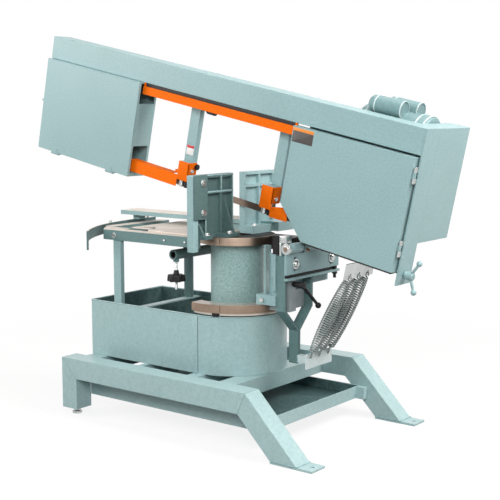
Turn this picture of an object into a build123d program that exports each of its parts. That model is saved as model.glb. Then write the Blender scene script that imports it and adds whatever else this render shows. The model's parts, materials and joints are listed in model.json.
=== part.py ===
"""Double mitre band saw: stand, swivel and tilting saw head as separate named pieces, in millimetres.

Frame: origin on the swivel axis at floor level, X along the rails and blade, Y to the back, Z up.
The head is drawn in its own coordinates u (along the beam), y and v (across the beam), zero on the hinge.
"""
import os
from math import cos, pi, radians, sin, sqrt

from build123d import *

os.makedirs("parts", exist_ok=True)

# Clearances
slide_gap = 0.3
pin_gap = 0.1
swivel_gap = 0.5

# Stand frame, three inch square tube
tube = 76.2
tube_wall = 4.8
stand_left = -560.0
stand_half_width = 370.0
rail_top = 220.0
knee_x = 323.0
foot_plate_thickness = 8.0
foot_plate_end = 595.0
anchor_hole = 14.0
anchor_hole_x = 572.0
cross_height = 59.0
cross_members = ((110.0, 186.0), (-42.0, 8.0), (-285.0, -263.0))
leg_bottom = 26.0
foot_pad_diameter = 37.0
foot_pad_thickness = 9.0
foot_stud_diameter = 16.0
foot_stud_grip = 40.0
foot_nut_radius = 15.0
foot_nut_height = 12.0

# Drip tray and chip pan
sheet = 3.0
tray_right = 355.0
tray_floor = 72.0
tray_rim = 46.0
tray_tab_length = 36.0
tray_tab_width = 24.0
pan_left = -566.0
pan_arc_x = -20.0
pan_half_width = 203.0
pan_height = 217.0
ledge_x = -369.0
ledge_width = 38.0
ledge_top = 400.0
ledge_thickness = 5.0

# Column and rings
column_diameter = 197.0
column_wall = 9.5
lower_ring_diameter = 420.0
lower_ring_bottom = 434.0
lower_ring_recess = 310.0
lower_ring_web = 6.0
lower_ring_cut_x = -50.0
ring_seat_diameter = 392.0
ring_seat_height = 10.0
ring_thickness = 30.0
upper_ring_diameter = 283.0
upper_ring_top = 698.0
upper_ring_bore = 120.0

# Table
angle_size = 38.0
angle_thickness = 5.0
table_front = -201.0
rail_left = -497.0
rail_right = -12.0
rail_flange = 51.0
side_rail_inner = -530.0
side_rail_back = 214.0
table_corner_y = -100.0
gap_front = -112.0
front_leg_left = -449.0
front_leg_depth = 19.0
rear_leg_width = 32.0
rear_leg_front = 140.0
rear_leg_depth = 20.0
arc_x = 65.0
arc_y = 127.0
arc_radius = 685.0
arc_thickness = 6.0
arc_top = 705.0
arc_start = 172.0
arc_end = 221.4
arc_strip_width = 24.0
arc_strip_height = 70.0
arc_strip_middle = 670.0
plate_thickness = 5.0
plate_outline = ((-433, -112), (-340, -112), (-302, -160), (-20, -160), (-20, 214), (-433, 214))
plate_cut = ((-402, -100), (-376, -40), (-318, -100))
bed_outline = ((-24, -40), (-90, -106), (-90, -160), (-24, -160))

# Fence in two halves
fence_top = 926.0
fence_thickness = 12.0
fence_rib_depth = 12.0
fence_rib_width = 10.0
fence_cap = 12.0
front_rib = (857.0, 867.0)
rear_rib = (868.0, 880.0)
front_middle_rib_y = -120.0
rear_middle_rib_y = 108.0
fence_slot_front = 46.0
fence_slot_rear = 20.0
fence_front_end = -277.0
fence_rear_end = 205.0
post_size = 28.0
post_depth = 30.0
post_drop = 43.0
post_plate = 6.0
post_plate_back = -204.0
post_plate_bottom = 770.0
post_foot_right = 52.0
foot_lift = 2.0
post_foot_height = 14.0
fence_foot_right = 60.0
front_foot_start = -135.0
front_foot_setback = 17.0
front_foot_height = 14.0
rear_foot_end = 135.0
rear_foot_height = 28.0
rear_block_right = 90.0
rear_block_end = 235.0
rear_block_height = 35.0
gusset_thickness = 8.0
gussets = ((-236.0, 48.0, 775.0), (-80.0, 56.0, 840.0))
gusset_bottom = 10.0

# Vise
vise_base_thickness = 17.0
vise_base_left = -668.0
vise_base_right = -24.0
vise_front = 70.0
vise_back = 170.0
vise_foot_left = -130.0
vise_foot_inset = 10.0
arc_saddle = 31.0
arc_saddle_width = 40.0
jaw_thickness = 30.0
jaw_top = 835.0
jaw_face_x = -185.0
jaw_reach = 100.0
jaw_skirt = 8.0
jaw_shelf = 14.0
clamp_setback = 65.0
clamp_radius = 8.0
clamp_depth = 20.0
clamp_hub_radius = 14.0
clamp_hub_height = 22.0
lever_radius = 5.0
lever_length = 85.0
lever_ball = 10.0

# Stock stop under the table
stop_pipe_diameter = 38.0
stop_pipe_bore = 26.6
stop_pipe_x = -200.0
stop_pipe_z = 616.0
stop_pipe_front = -134.0
stop_pipe_length = 314.0
stop_hanger_thickness = 10.0
stop_hangers = ((-70.0, -30.0), (120.0, 160.0))
stop_screw_y = -116.0
stop_screw_radius = 5.0
stop_screw_length = 118.0
stop_boss_radius = 11.0
stop_boss_length = 28.0
star_knob_diameter = 72.0
star_knob_drop = 76.0
star_knob_height = 26.0
star_lobes = 6

# Bolts
table_bolt_xs = (-440.0, -182.0, -82.0)
table_bolt_drop = 20.0
small_bolt = 9.0
large_bolt = 10.0
bolt_head = 7.0
post_bolt_y = -228.0
post_bolt_zs = (898.0, 792.0)
arc_stud_angles = (196.0, 175.5)
arc_stud_radius = 6.0
arc_stud_height = 10.0

# Swivel
yoke_width = 38.0
yoke_bar = 9.5
yoke_left = 244.0
yoke_half_span = 87.0
yoke_top = 645.0
yoke_fork_z = 446.0
yoke_stem_z = 368.0
yoke_bottom = 247.0
yoke_slope_rise = 4.0
shoe_inset = 2.0
shoe_left = 90.0
shoe_front = 15.0
shoe_wall = 12.0
shoe_column_gap = 12.0
stop_block_right = 258.0
stop_block_back = -70.0
stop_block_rise = 18.0
lower_shoe_left = 160.0
lower_shoe_half = 95.0
lower_shoe_height = 37.0
shoe_bolt_x = 189.0
shoe_bolt_z = 482.0
strip_left = 181.0
strip_right = 207.0
strip_half_span = 77.0
strip_thickness = 10.0
front_strip_top = 677.0
back_plate = 10.0
back_plate_bottom = 520.0
doubler = 8.0
doubler_width = 30.0
hook_block_left = 262.0
hook_block_right = 292.0
hook_block_back = -62.0
hook_block_bottom = 645.0
hook_bar_bottom = 620.0
pad_top = 640.0
pads = ((-62.0, 0.0), (150.0, 240.0))
hinge_x = 290.0
hinge_z = 671.0
shaft_diameter = 20.0
shaft_front = -96.0
shaft_rear = 243.0
collar_width = 9.0
collar_rise = 2.0
barrel_diameter = 36.0
front_barrel = (-85.0, -2.0)
rear_barrel = (192.0, 232.0)
hinge_plate_front = -93.0
hinge_plate_rear = 240.0
hinge_plate_thickness = 10.0
hinge_plate_bottom = 578.0
hinge_plate_drop = 3.0
flange_top = 566.0
flange_thickness = 8.0
flange_reach = 15.0
hinge_bolt_z = 614.0
hinge_bolt_ys = (-38.0, 190.0)
hinge_bolt_radius = 8.0
hinge_bolt_slot = (9.0, 24.0)
hinge_washer_radius = 19.0
hinge_washer = 3.0
hinge_nut_radius = 14.0
hinge_nut_height = 11.0
jack_screw_y = 217.0
jack_screw_bottom = 534.0
jack_screw_radius = 6.0
lock_y = -48.0
lock_z = 543.0
lock_block_half = 20.0
lock_block_bottom = 444.0
lock_block_left = 150.0
clamp_plate = 12.0
clamp_plate_back = 70.0
clamp_plate_top = 512.0
lock_screw_radius = 8.0
lock_screw_length = 60.0
lock_hub = (11.0, 13.0, 46.0)
lock_lever_radius = 7.0
lock_ball = 11.0
lock_reach = (8.0, 90.0, -84.0)

# Counterbalance springs
anchor_x = 368.0
anchor_z = 290.0
anchor_bottom = 252.0
anchor_bar_top = 280.0
anchor_half_width = 80.0
spring_spacing = 56.0
spring_wire = 4.0
spring_outer = 42.0
spring_turns = 30
spring_lead = 62.0
spring_bend = 18.0
hook = 9.0
hook_plate = 5.0
hook_hole = 10.0
hook_seat = 2.65

# Saw head frame
head_tilt = 11.7
beam_size = 90.0
beam_wall = 4.8
beam_left = -1361.0
beam_right = 408.0
beam_front = -28.0
beam_top = 517.0
cover_front = -53.0
case_depth = 106.0
drive_left = -86.0
drive_bottom = 31.0
case_lift = 6.0
case_floor_front = -16.0
chamfer_v = 144.0
chamfer_u = 27.0
end_plate = 6.0
tongue_bottom = -14.0
ear_thickness = 22.0
ear_outline = ((-16, 2), (16, 2), (120, 45), (120, 120), (10, 120))
guard_sheet = 2.5
guard_left = 340.0
guard_back = 271.0
guard_bottom = 125.0
guard_shaft_hole = 22.0

# Idler case and door
idler_inset = 8.0
idler_width = 525.0
idler_bottom = 54.0
idler_axle_inset = 250.0
idler_hinge_insets = (103.0, 423.0)
idler_knuckle = 4.5
idler_knuckle_half = 13.0
idler_pin = 2.2
idler_hinge_drop = 5.0
idler_hinge_leaf = 18.0
idler_lug = 8.0
blade_gate_half = 42.0
tension_screw_y = 28.0
tension_screw_radius = 8.0
tension_screw_reach = 16.0
tension_nut_radius = 13.0
tension_nut = 12.0
latch_y = -38.0
latch_v = 250.0
latch_reach = 39.0
latch_radius = 4.0
latch_ball = 9.0

# Blade and wheels
blade_width = 25.4
blade_thickness = 0.9
blade_v = 86.0
blade_clearance = 1.5
wheel_diameter = 304.0
wheel_width = 28.0
wheel_web = 8.0
wheel_rim = 14.0
wheel_hub = 36.0
wheel_holes = 5
wheel_hole_radius = 30.0
wheel_hole_margin = 15.7
drive_u = 150.0
drive_shaft_radius = 15.0
idler_shaft_radius = 12.0
idler_block_half = 32.0
twist_steps = 6
left_twist = (73.0, 150.0)
right_twist = (68.0, 70.0)

# Guides
arm_width = 45.0
arm_depth = 25.0
arm_front = 18.0
arm_bottom = 122.0
left_arm_inset = 217.0
right_arm_u = -188.0
saddle_lip = 9.0
saddle_bottom = 416.0
saddle_rise = 18.0
knob_y = 30.0
knob_v = 377.0
knob_radius = 14.0
knob_length = 40.0
knob_neck_radius = 9.0
knob_screw_radius = 5.0
guide_front = -33.0
guide_plate = 4.0
guide_block_bottom = 132.0
guide_side_lift = 22.0
guide_side_back = 15.0
left_guide_span = (19.0, 71.0, 103.0, 175.0)
right_guide_span = (-2.0, 52.0, 100.0, 183.0)
roller_radius = 11.0
roller_bottom = 76.0
roller_height = 24.0
roller_pin = 5.0
roller_gap = 0.35
roller_us = (12.0, 37.0)
backing_u = 24.5
backing_radius = 7.5
backing_half = 14.0
backing_gap = 0.5
guard_front_y = -31.0
guard_plate = 2.0
guide_guard_outline = ((0, 75), (76, 77), (72, 101), (51, 124), (-4, 112), (-4, 75))
left_guard_low = 74.0
left_guard_high = 120.0

# Motor, worm drive and belt
motor_diameter = 160.0
motor_y = 160.0
motor_v = 457.0
motor_left = 55.0
motor_length = 281.0
motor_shaft_radius = 9.5
motor_foot = (100.0, 290.0)
can_radius = 31.0
can_rise = 84.0
cans = ((106.0, 108.0, 136.0), (136.0, 180.0, 130.0))
gear_y = 140.0
gear_diameter = 120.0
gear_width = 20.0
gear_case_half = 78.0
gear_case_wall = 8.0
gear_case_back = 50.0
worm_diameter = 36.0
worm_length = 90.0
worm_shaft_radius = 9.0
worm_shaft_left = 95.0
worm_shaft_length = 305.0
worm_gap = 0.5
worm_pulley_diameter = 124.0
motor_pulley_diameter = 76.0
pulley_u = 362.0
pulley_width = 30.0
groove_inset = 8.0
groove_width = 14.0
groove_depth = 10.0
belt_thickness = 8.0
belt_width = 12.0

# Drive door, spring bracket and handle
hinge_spans = ((335.0, 390.0), (88.0, 143.0))
knuckle_length = 17.0
knuckle_radius = 5.0
door_pin = 2.4
door_leaf = 3.0
door_axis_setback = 8.0
door_gap = 7.0
door_skin = 2.0
door_back = -18.0
door_right_gap = 6.0
bracket_u = 250.0
bracket_half = 40.0
bracket_bottom = -36.0
bracket_shoulder = 20.0
bracket_half_width = 90.0
hook_v = -25.0
handle_y = 15.0
handle_v = 22.0
handle_screw_radius = 6.0
handle_hub_radius = 14.0
handle_hub_length = 34.0
handle_bar_radius = 5.0
handle_bar_length = 54.0
handle_ball = 10.0
handle_lean = 0.5

# Values that follow from those above
rail_inner = stand_half_width - tube
rail_bottom = rail_top - tube
pan_floor = rail_bottom + cross_height
toe_x = knee_x + rail_top - foot_plate_thickness
heel_x = toe_x - tube * sqrt(2)
leg_ys = (-stand_half_width + tube / 2, stand_half_width - tube / 2)
cross_spans = cross_members + ((stand_left, stand_left + tube),)
column_radius = column_diameter / 2
lower_ring_top = lower_ring_bottom + ring_thickness
upper_ring_bottom = upper_ring_top - ring_thickness
ring_seat_bottom = lower_ring_bottom - ring_seat_height
table_left = arc_x - sqrt((arc_radius - slide_gap) ** 2 - (table_corner_y - arc_y) ** 2)
flange_back = table_front + rail_flange
plate_left_edge = plate_outline[0][0]
arc_middle = arc_radius + arc_thickness / 2
plate_top = upper_ring_top + plate_thickness
fence_left = -fence_thickness / 2
fence_right = fence_thickness / 2
rib_right = fence_right + fence_rib_depth
post_right = fence_left + post_depth
post_back = fence_front_end + post_size
bed_top = hinge_z + blade_v - blade_width / 2 - blade_clearance
vise_middle = (vise_front + vise_back) / 2
clamp_x = jaw_face_x - clamp_setback
jaw_low = bed_top + slide_gap
yoke_right = yoke_left + yoke_width
shoe_half = yoke_half_span - shoe_inset
barrel_radius = barrel_diameter / 2
collar_radius = barrel_radius + collar_rise
hinge_plate_top = hinge_z - barrel_radius - hinge_plate_drop
hook_block_top = upper_ring_top + stop_block_rise
hook_wall_right = hinge_x - collar_radius - swivel_gap
lower_shoe_top = lower_ring_top + lower_shoe_height
plate_left = yoke_right
plate_right = yoke_right + hinge_plate_thickness
flange_bottom = flange_top - flange_thickness
jack_screw_x = plate_left + flange_reach / 2
hook_ys = (-spring_spacing, 0, spring_spacing)
beam_bottom = beam_top - beam_size
beam_back = beam_front + beam_size
case_back = cover_front + case_depth
case_floor = drive_bottom + case_lift
wheel_v = blade_v + blade_thickness / 2 + wheel_diameter / 2
wheel_radius = wheel_diameter / 2 - slide_gap
wheel_hole_circle = wheel_radius - wheel_rim - wheel_hole_margin - wheel_hole_radius
worm_v = wheel_v + gear_diameter / 2 + worm_diameter / 2 + worm_gap
upper_v = wheel_v + (wheel_diameter + blade_thickness) / 2
end_u = beam_right + end_plate
idler_left = beam_left + idler_inset
idler_right = idler_left + idler_width
idler_u = idler_left + idler_axle_inset
idler_hinge_v = idler_bottom - idler_hinge_drop
idler_hinge_us = (idler_left + idler_hinge_insets[0], idler_left + idler_hinge_insets[1])
left_arm_u = idler_right + left_arm_inset
left_arm_right = left_arm_u + arm_width
roller_offset = blade_thickness / 2 + roller_radius + roller_gap
backing_v = blade_v + blade_width / 2 + backing_radius + backing_gap
guard_front = max(beam_back, case_back)
door_top = beam_bottom - door_gap
door_right = beam_right - door_right_gap
door_axis_u = beam_right + door_leaf / 2
door_axis_y = cover_front + door_axis_setback

tilt = radians(head_tilt)
along = Vector(cos(tilt), 0, -sin(tilt))
across = Vector(sin(tilt), 0, cos(tilt))
up = Vector(0, 0, 1)
back = Vector(0, 1, 0)
right = Vector(1, 0, 0)
hinge = Vector(hinge_x, 0, hinge_z)
head = Plane(origin=hinge, x_dir=along, z_dir=across)


def side(y):
    """Sketch plane of the head seen from the front, at depth y, extruding towards the front."""
    return Plane(origin=hinge + back * y, x_dir=along, z_dir=-back)


def cross(u):
    """Sketch plane across the head at u, extruding to the right."""
    return Plane(origin=hinge + along * u, x_dir=back, z_dir=along)


def box(x0, x1, y0, y1, z0, z1, mode=Mode.ADD):
    """Block between two corners of the stand frame."""
    with Locations(((x0 + x1) / 2, (y0 + y1) / 2, (z0 + z1) / 2)):
        Box(x1 - x0, y1 - y0, z1 - z0, mode=mode)


def head_box(u0, u1, y0, y1, v0, v1, mode=Mode.ADD):
    """Block between two corners in head coordinates."""
    with Locations(head.location * Location(((u0 + u1) / 2, (y0 + y1) / 2, (v0 + v1) / 2))):
        Box(u1 - u0, y1 - y0, v1 - v0, mode=mode)


def rod(start, direction, radius, length, mode=Mode.ADD):
    """Round bar from a point along a direction."""
    with Locations(Plane(origin=start, z_dir=direction).location):
        Cylinder(radius, length, align=(Align.CENTER, Align.CENTER, Align.MIN), mode=mode)


def head_point(u, y, v):
    """Point of the head in stand coordinates."""
    return hinge + along * u + across * v + back * y


def head_rod(u, y, v, direction, radius, length, mode=Mode.ADD):
    """Round bar starting at a head point."""
    rod(head_point(u, y, v), direction, radius, length, mode)


def hexagon(start, direction, radius, length):
    """Hexagon head or nut starting at a point."""
    place = Plane(origin=start, z_dir=direction)
    turns = [k * pi / 3 for k in range(6)]
    corners = [place.from_local_coords((radius * cos(turn), radius * sin(turn), 0)) for turn in turns]
    add(Solid.extrude(Face(Wire.make_polygon(corners)), place.z_dir * length))


def save(builder, name):
    """Label a finished piece and write it."""
    builder.part.label = name
    export_step(builder.part, "parts/" + name + ".step")


# Stand frame with splayed legs, foot plates and cross members
with BuildPart() as base_frame:
    outline = [
        (stand_left, leg_bottom), (stand_left, rail_top), (knee_x, rail_top),
        (toe_x, foot_plate_thickness), (heel_x, foot_plate_thickness),
        (heel_x - (rail_bottom - foot_plate_thickness), rail_bottom),
        (stand_left + tube, rail_bottom), (stand_left + tube, leg_bottom),
    ]
    for start in (rail_inner, -stand_half_width):
        with BuildSketch(Plane.XZ.offset(start)):
            with BuildLine():
                Polyline(*outline, close=True)
            make_face()
        extrude(amount=tube)
    for x0, x1 in cross_spans:
        box(x0, x1, -rail_inner, rail_inner, rail_bottom, rail_bottom + cross_height)
    for start in (rail_inner + tube_wall, -stand_half_width + tube_wall):
        with BuildSketch(Plane.XZ.offset(start)):
            with BuildLine():
                Polyline(*outline, close=True)
            make_face()
            offset(amount=-tube_wall, kind=Kind.INTERSECTION, mode=Mode.REPLACE)
        extrude(amount=tube - 2 * tube_wall, mode=Mode.SUBTRACT)
    for x0, x1 in cross_spans:
        box(x0 + tube_wall, x1 - tube_wall, -rail_inner, rail_inner,
            rail_bottom + tube_wall, rail_bottom + cross_height - tube_wall, Mode.SUBTRACT)
    for y in leg_ys:
        box(heel_x, foot_plate_end, y - tube / 2, y + tube / 2, 0, foot_plate_thickness)
        rod((anchor_hole_x, y, 0), up, anchor_hole / 2, foot_plate_thickness, Mode.SUBTRACT)
        rod((stand_left + tube / 2, y, leg_bottom), up, foot_stud_diameter / 2 + pin_gap, 2 * tube_wall,
            Mode.SUBTRACT)
save(base_frame, "base_frame")

with BuildPart() as levelling_feet:
    for y in leg_ys:
        foot = (stand_left + tube / 2, y, 0)
        rod(foot, up, foot_pad_diameter / 2, foot_pad_thickness)
        rod(foot, up, foot_stud_diameter / 2, leg_bottom + foot_stud_grip)
        hexagon((foot[0], y, leg_bottom - foot_nut_height), up, foot_nut_radius, foot_nut_height)
save(levelling_feet, "levelling_feet")

with BuildPart() as drip_tray:
    tray_left = stand_left + tube
    tray_top = tray_floor + tray_rim
    box(tray_left, tray_right, -rail_inner, rail_inner, tray_floor, tray_top)
    box(tray_left + sheet, tray_right - sheet, -rail_inner + sheet, rail_inner - sheet,
        tray_floor + sheet, tray_top, Mode.SUBTRACT)
    for y in (-rail_inner, rail_inner - tray_tab_width):
        box(tray_right, tray_right + tray_tab_length, y, y + tray_tab_width, tray_floor, tray_top)
save(drip_tray, "drip_tray")

with BuildPart() as chip_pan:
    for inset, low, mode in ((0, pan_floor, Mode.ADD), (sheet, pan_floor + sheet, Mode.SUBTRACT)):
        reach = pan_half_width - inset
        with BuildSketch(Plane.XY.offset(low)):
            with BuildLine():
                Polyline((pan_arc_x, -reach), (pan_left + inset, -reach),
                         (pan_left + inset, reach), (pan_arc_x, reach))
                ThreePointArc((pan_arc_x, reach), (pan_arc_x + reach, 0), (pan_arc_x, -reach))
            make_face()
        extrude(amount=pan_floor + pan_height - low, mode=mode)
    ledge_half = pan_half_width - sheet / 2
    box(ledge_x - ledge_width / 2, ledge_x + ledge_width / 2, -ledge_half, ledge_half,
        ledge_top - ledge_thickness, ledge_top)
save(chip_pan, "chip_pan")

with BuildPart() as column:
    column_base = pan_floor + sheet
    column_height = upper_ring_bottom - column_base
    rod((0, 0, column_base), up, column_radius, column_height)
    rod((0, 0, column_base), up, column_radius - column_wall, column_height, Mode.SUBTRACT)
save(column, "column")

with BuildPart() as lower_ring:
    rod((0, 0, ring_seat_bottom), up, ring_seat_diameter / 2, ring_seat_height)
    rod((0, 0, lower_ring_bottom), up, lower_ring_diameter / 2, ring_thickness)
    rod((0, 0, lower_ring_bottom + lower_ring_web), up, lower_ring_recess / 2, ring_thickness,
        Mode.SUBTRACT)
    rod((0, 0, ring_seat_bottom), up, column_radius, ring_seat_height + ring_thickness, Mode.SUBTRACT)
    box(-lower_ring_diameter, lower_ring_cut_x, -lower_ring_diameter, lower_ring_diameter,
        ring_seat_bottom, lower_ring_top, Mode.SUBTRACT)
save(lower_ring, "lower_ring")

with BuildPart() as upper_ring:
    rod((0, 0, upper_ring_bottom), up, upper_ring_diameter / 2, ring_thickness)
    rod((0, 0, upper_ring_bottom), up, upper_ring_bore / 2, ring_thickness, Mode.SUBTRACT)
save(upper_ring, "upper_ring")

# Table on the left of the column
with BuildPart() as table_rail:
    box(rail_left, rail_right, table_front, table_front + angle_thickness,
        upper_ring_top - angle_size, upper_ring_top)
    box(side_rail_inner - angle_thickness, side_rail_inner, gap_front, side_rail_back,
        upper_ring_top - angle_size, upper_ring_top)
    with BuildSketch(Plane.XY.offset(upper_ring_top - angle_thickness)):
        with BuildLine():
            Polyline((rail_left, table_front), (rail_right, table_front), (rail_right, flange_back),
                     (plate_left_edge, flange_back), (plate_left_edge, gap_front),
                     (side_rail_inner, gap_front), (side_rail_inner, side_rail_back),
                     (table_left, side_rail_back), (table_left, table_corner_y), close=True)
        make_face()
    extrude(amount=angle_thickness)
save(table_rail, "table_rail")

with BuildPart() as table_legs:
    leg_front = table_front + angle_thickness
    box(front_leg_left, front_leg_left + angle_size, leg_front, leg_front + front_leg_depth,
        pan_floor + sheet, upper_ring_top - angle_thickness)
    box(ledge_x - rear_leg_width / 2, ledge_x + rear_leg_width / 2,
        rear_leg_front, rear_leg_front + rear_leg_depth, ledge_top, upper_ring_top)
save(table_legs, "table_legs")

with BuildPart() as table_arc:
    with BuildSketch(Plane.XY.offset(arc_top - angle_size)):
        with BuildLine():
            outer = CenterArc((arc_x, arc_y), arc_radius + arc_thickness, arc_start, arc_end - arc_start)
            inner = CenterArc((arc_x, arc_y), arc_radius, arc_start, arc_end - arc_start)
            Line(outer @ 0, inner @ 0)
            Line(outer @ 1, inner @ 1)
        make_face()
    extrude(amount=angle_size)
    end_angle = radians(arc_end)
    strip_place = (arc_x + arc_middle * cos(end_angle), arc_y + arc_middle * sin(end_angle),
                   arc_strip_middle)
    with Locations(Location(strip_place, (0, 0, arc_end))):
        Box(arc_thickness, arc_strip_width, arc_strip_height)
save(table_arc, "table_arc")

with BuildPart() as table_plate:
    for low, high, corners, mode in ((upper_ring_top, plate_top, plate_outline, Mode.ADD),
                                     (upper_ring_top, plate_top, plate_cut, Mode.SUBTRACT),
                                     (plate_top, bed_top, bed_outline, Mode.ADD)):
        with BuildSketch(Plane.XY.offset(low)):
            with BuildLine():
                Polyline(*corners, close=True)
            make_face()
        extrude(amount=high - low, mode=mode)
save(table_plate, "table_plate")

with BuildPart() as vise_base:
    base_low = bed_top - vise_base_thickness
    box(vise_base_left, vise_base_right, vise_front, vise_back, base_low, bed_top)
    box(vise_foot_left, vise_base_right, vise_front + vise_foot_inset, vise_back - vise_foot_inset,
        plate_top, base_low)
    saddle_left = arc_x - arc_radius - arc_thickness
    box(saddle_left, saddle_left + arc_saddle, vise_middle - arc_saddle_width / 2,
        vise_middle + arc_saddle_width / 2, arc_top, base_low)
save(vise_base, "vise_base")


def fence_ribs(y0, y1, middle_y, rib):
    """Cap, level rib and three upright ribs on the right face of one half of the fence."""
    for low, high in ((fence_top - fence_cap, fence_top), rib):
        box(fence_right, rib_right, y0, y1, low, high)
    for y in (y0, middle_y, y1 - fence_rib_width):
        box(fence_right, rib_right, y, y + fence_rib_width, upper_ring_top, fence_top)


# Fence in two halves with a slot for the blade
with BuildPart() as fence_post:
    box(fence_left, post_right, fence_front_end, post_back, upper_ring_top - post_drop, fence_top)
save(fence_post, "fence_post")

with BuildPart() as fence_front:
    box(fence_left, fence_right, post_back, -fence_slot_front, upper_ring_top, fence_top)
    box(fence_right, post_right, post_back, post_plate_back, post_plate_bottom, fence_top)
    box(post_right, post_right + post_plate, fence_front_end, post_plate_back, post_plate_bottom, fence_top)
    fence_ribs(post_plate_back, -fence_slot_front, front_middle_rib_y, front_rib)
    box(fence_right, fence_foot_right, front_foot_start, -fence_slot_front - front_foot_setback,
        upper_ring_top, upper_ring_top + front_foot_height)
    box(fence_right, post_foot_right, post_back, post_plate_back,
        upper_ring_top + foot_lift, upper_ring_top + foot_lift + post_foot_height)
    for y, reach, top in gussets:
        low = upper_ring_top + gusset_bottom
        with BuildSketch(Plane.XZ.offset(-y)):
            with BuildLine():
                Polyline((fence_right, low), (reach, low), (fence_right, top), close=True)
            make_face()
        extrude(amount=gusset_thickness)
save(fence_front, "fence_front")

with BuildPart() as fence_rear:
    box(fence_left, fence_right, fence_slot_rear, fence_rear_end, upper_ring_top, fence_top)
    fence_ribs(fence_slot_rear, fence_rear_end, rear_middle_rib_y, rear_rib)
    box(fence_right, fence_foot_right, fence_slot_rear, rear_foot_end,
        upper_ring_top, upper_ring_top + rear_foot_height)
    block_low = upper_ring_top + foot_lift
    block_high = block_low + rear_block_height
    box(fence_right, rear_block_right, rear_foot_end, rear_block_end, block_low, block_high)
    box(fence_left, fence_right, fence_rear_end, rear_block_end, block_low, block_high)
save(fence_rear, "fence_rear")

with BuildPart() as stand_bolts:
    for x in table_bolt_xs:
        hexagon((x, table_front, upper_ring_top - table_bolt_drop), -back, small_bolt, bolt_head)
    for z in post_bolt_zs:
        hexagon((post_right + post_plate, post_bolt_y, z), right, small_bolt, bolt_head)
    post_foot_top = upper_ring_top + foot_lift + post_foot_height
    hexagon((post_foot_right - 14, post_plate_back - 16, post_foot_top), up, large_bolt, bolt_head)
    front_foot_top = upper_ring_top + front_foot_height
    hexagon((fence_foot_right - 14, -fence_slot_front - 58, front_foot_top), up, large_bolt, bolt_head)
    rear_foot_top = upper_ring_top + rear_foot_height
    hexagon((fence_foot_right - 16, fence_slot_rear + 25, rear_foot_top), up, large_bolt, bolt_head)
    for angle in arc_stud_angles:
        stud = (arc_x + arc_middle * cos(radians(angle)), arc_y + arc_middle * sin(radians(angle)), arc_top)
        rod(stud, up, arc_stud_radius, arc_stud_height)
save(stand_bolts, "stand_bolts")

# Stock stop: a tube hung under the table with its clamping screw
with BuildPart() as stop_tube:
    stop_start = (stop_pipe_x, stop_pipe_front, stop_pipe_z)
    stop_boss = (stop_pipe_x, stop_screw_y, stop_pipe_z)
    hanger_half = stop_hanger_thickness / 2
    rod(stop_start, back, stop_pipe_diameter / 2, stop_pipe_length)
    for y0, y1 in stop_hangers:
        box(stop_pipe_x - hanger_half, stop_pipe_x + hanger_half, y0, y1, stop_pipe_z, upper_ring_top)
    rod(stop_boss, -up, stop_boss_radius, stop_boss_length)
    rod(stop_start, back, stop_pipe_bore / 2, stop_pipe_length, Mode.SUBTRACT)
    rod(stop_boss, -up, stop_screw_radius + pin_gap, stop_boss_length, Mode.SUBTRACT)
save(stop_tube, "stop_tube")

with BuildPart() as stop_knob:
    screw_top = stop_pipe_z - stop_pipe_bore / 2 - 1
    knob_top = stop_pipe_z - star_knob_drop
    rod((stop_pipe_x, stop_screw_y, screw_top), -up, stop_screw_radius, stop_screw_length)
    rod((stop_pipe_x, stop_screw_y, knob_top), -up, star_knob_diameter * 0.36, star_knob_height)
    with BuildSketch(Plane.XY.offset(knob_top - star_knob_height)):
        with Locations((stop_pipe_x, stop_screw_y)):
            with PolarLocations(star_knob_diameter * 0.33, star_lobes):
                Circle(star_knob_diameter * 0.17)
    extrude(amount=star_knob_height)
    rod((stop_pipe_x, stop_screw_y, knob_top + 16), -up, stop_boss_radius, 20)
save(stop_knob, "stop_knob")

# Sliding vise jaw, astride the vise base
with BuildPart() as vise_jaw:
    jaw_left = jaw_face_x - jaw_reach
    skirt_low = bed_top - vise_base_thickness
    box(jaw_face_x - jaw_thickness, jaw_face_x, vise_front, vise_back, jaw_low, jaw_top)
    box(jaw_left, jaw_face_x, vise_front - jaw_skirt, vise_back + jaw_skirt, jaw_low, jaw_low + jaw_shelf)
    box(jaw_left, jaw_face_x, vise_front - jaw_skirt, vise_front - slide_gap, skirt_low, jaw_low)
    box(jaw_left, jaw_face_x, vise_back + slide_gap, vise_back + jaw_skirt, skirt_low, jaw_low)
    rod((clamp_x, vise_middle, jaw_low), up, clamp_radius + pin_gap, clamp_depth, Mode.SUBTRACT)
save(vise_jaw, "vise_jaw")

with BuildPart() as vise_lever:
    rod((clamp_x, vise_middle, jaw_low + 1), up, clamp_radius, clamp_depth)
    rod((clamp_x, vise_middle, jaw_low + jaw_shelf + 1), up, clamp_hub_radius, clamp_hub_height)
    lever_start = Vector(clamp_x, vise_middle, jaw_low + jaw_shelf + 14)
    lever_way = Vector(0, 1, 0.15).normalized()
    rod(lever_start, lever_way, lever_radius, lever_length)
    with Locations(lever_start + lever_way * lever_length):
        Sphere(lever_ball)
save(vise_lever, "vise_lever")

# Swivel: yoke, carriage and shoes
with BuildPart() as swivel_yoke:
    bar_inside = yoke_half_span - yoke_bar
    for sign in (-1, 1):
        with BuildSketch(Plane.YZ.offset(yoke_left)):
            with BuildLine():
                Polyline(
                    (sign * yoke_half_span, yoke_top), (sign * yoke_half_span, yoke_fork_z),
                    (sign * yoke_bar, yoke_stem_z), (sign * yoke_bar, yoke_bottom), (0, yoke_bottom),
                    (0, yoke_stem_z + yoke_slope_rise), (sign * bar_inside, yoke_fork_z + yoke_slope_rise),
                    (sign * bar_inside, yoke_top), close=True)
            make_face()
        extrude(amount=yoke_width)
save(swivel_yoke, "swivel_yoke")

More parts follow.
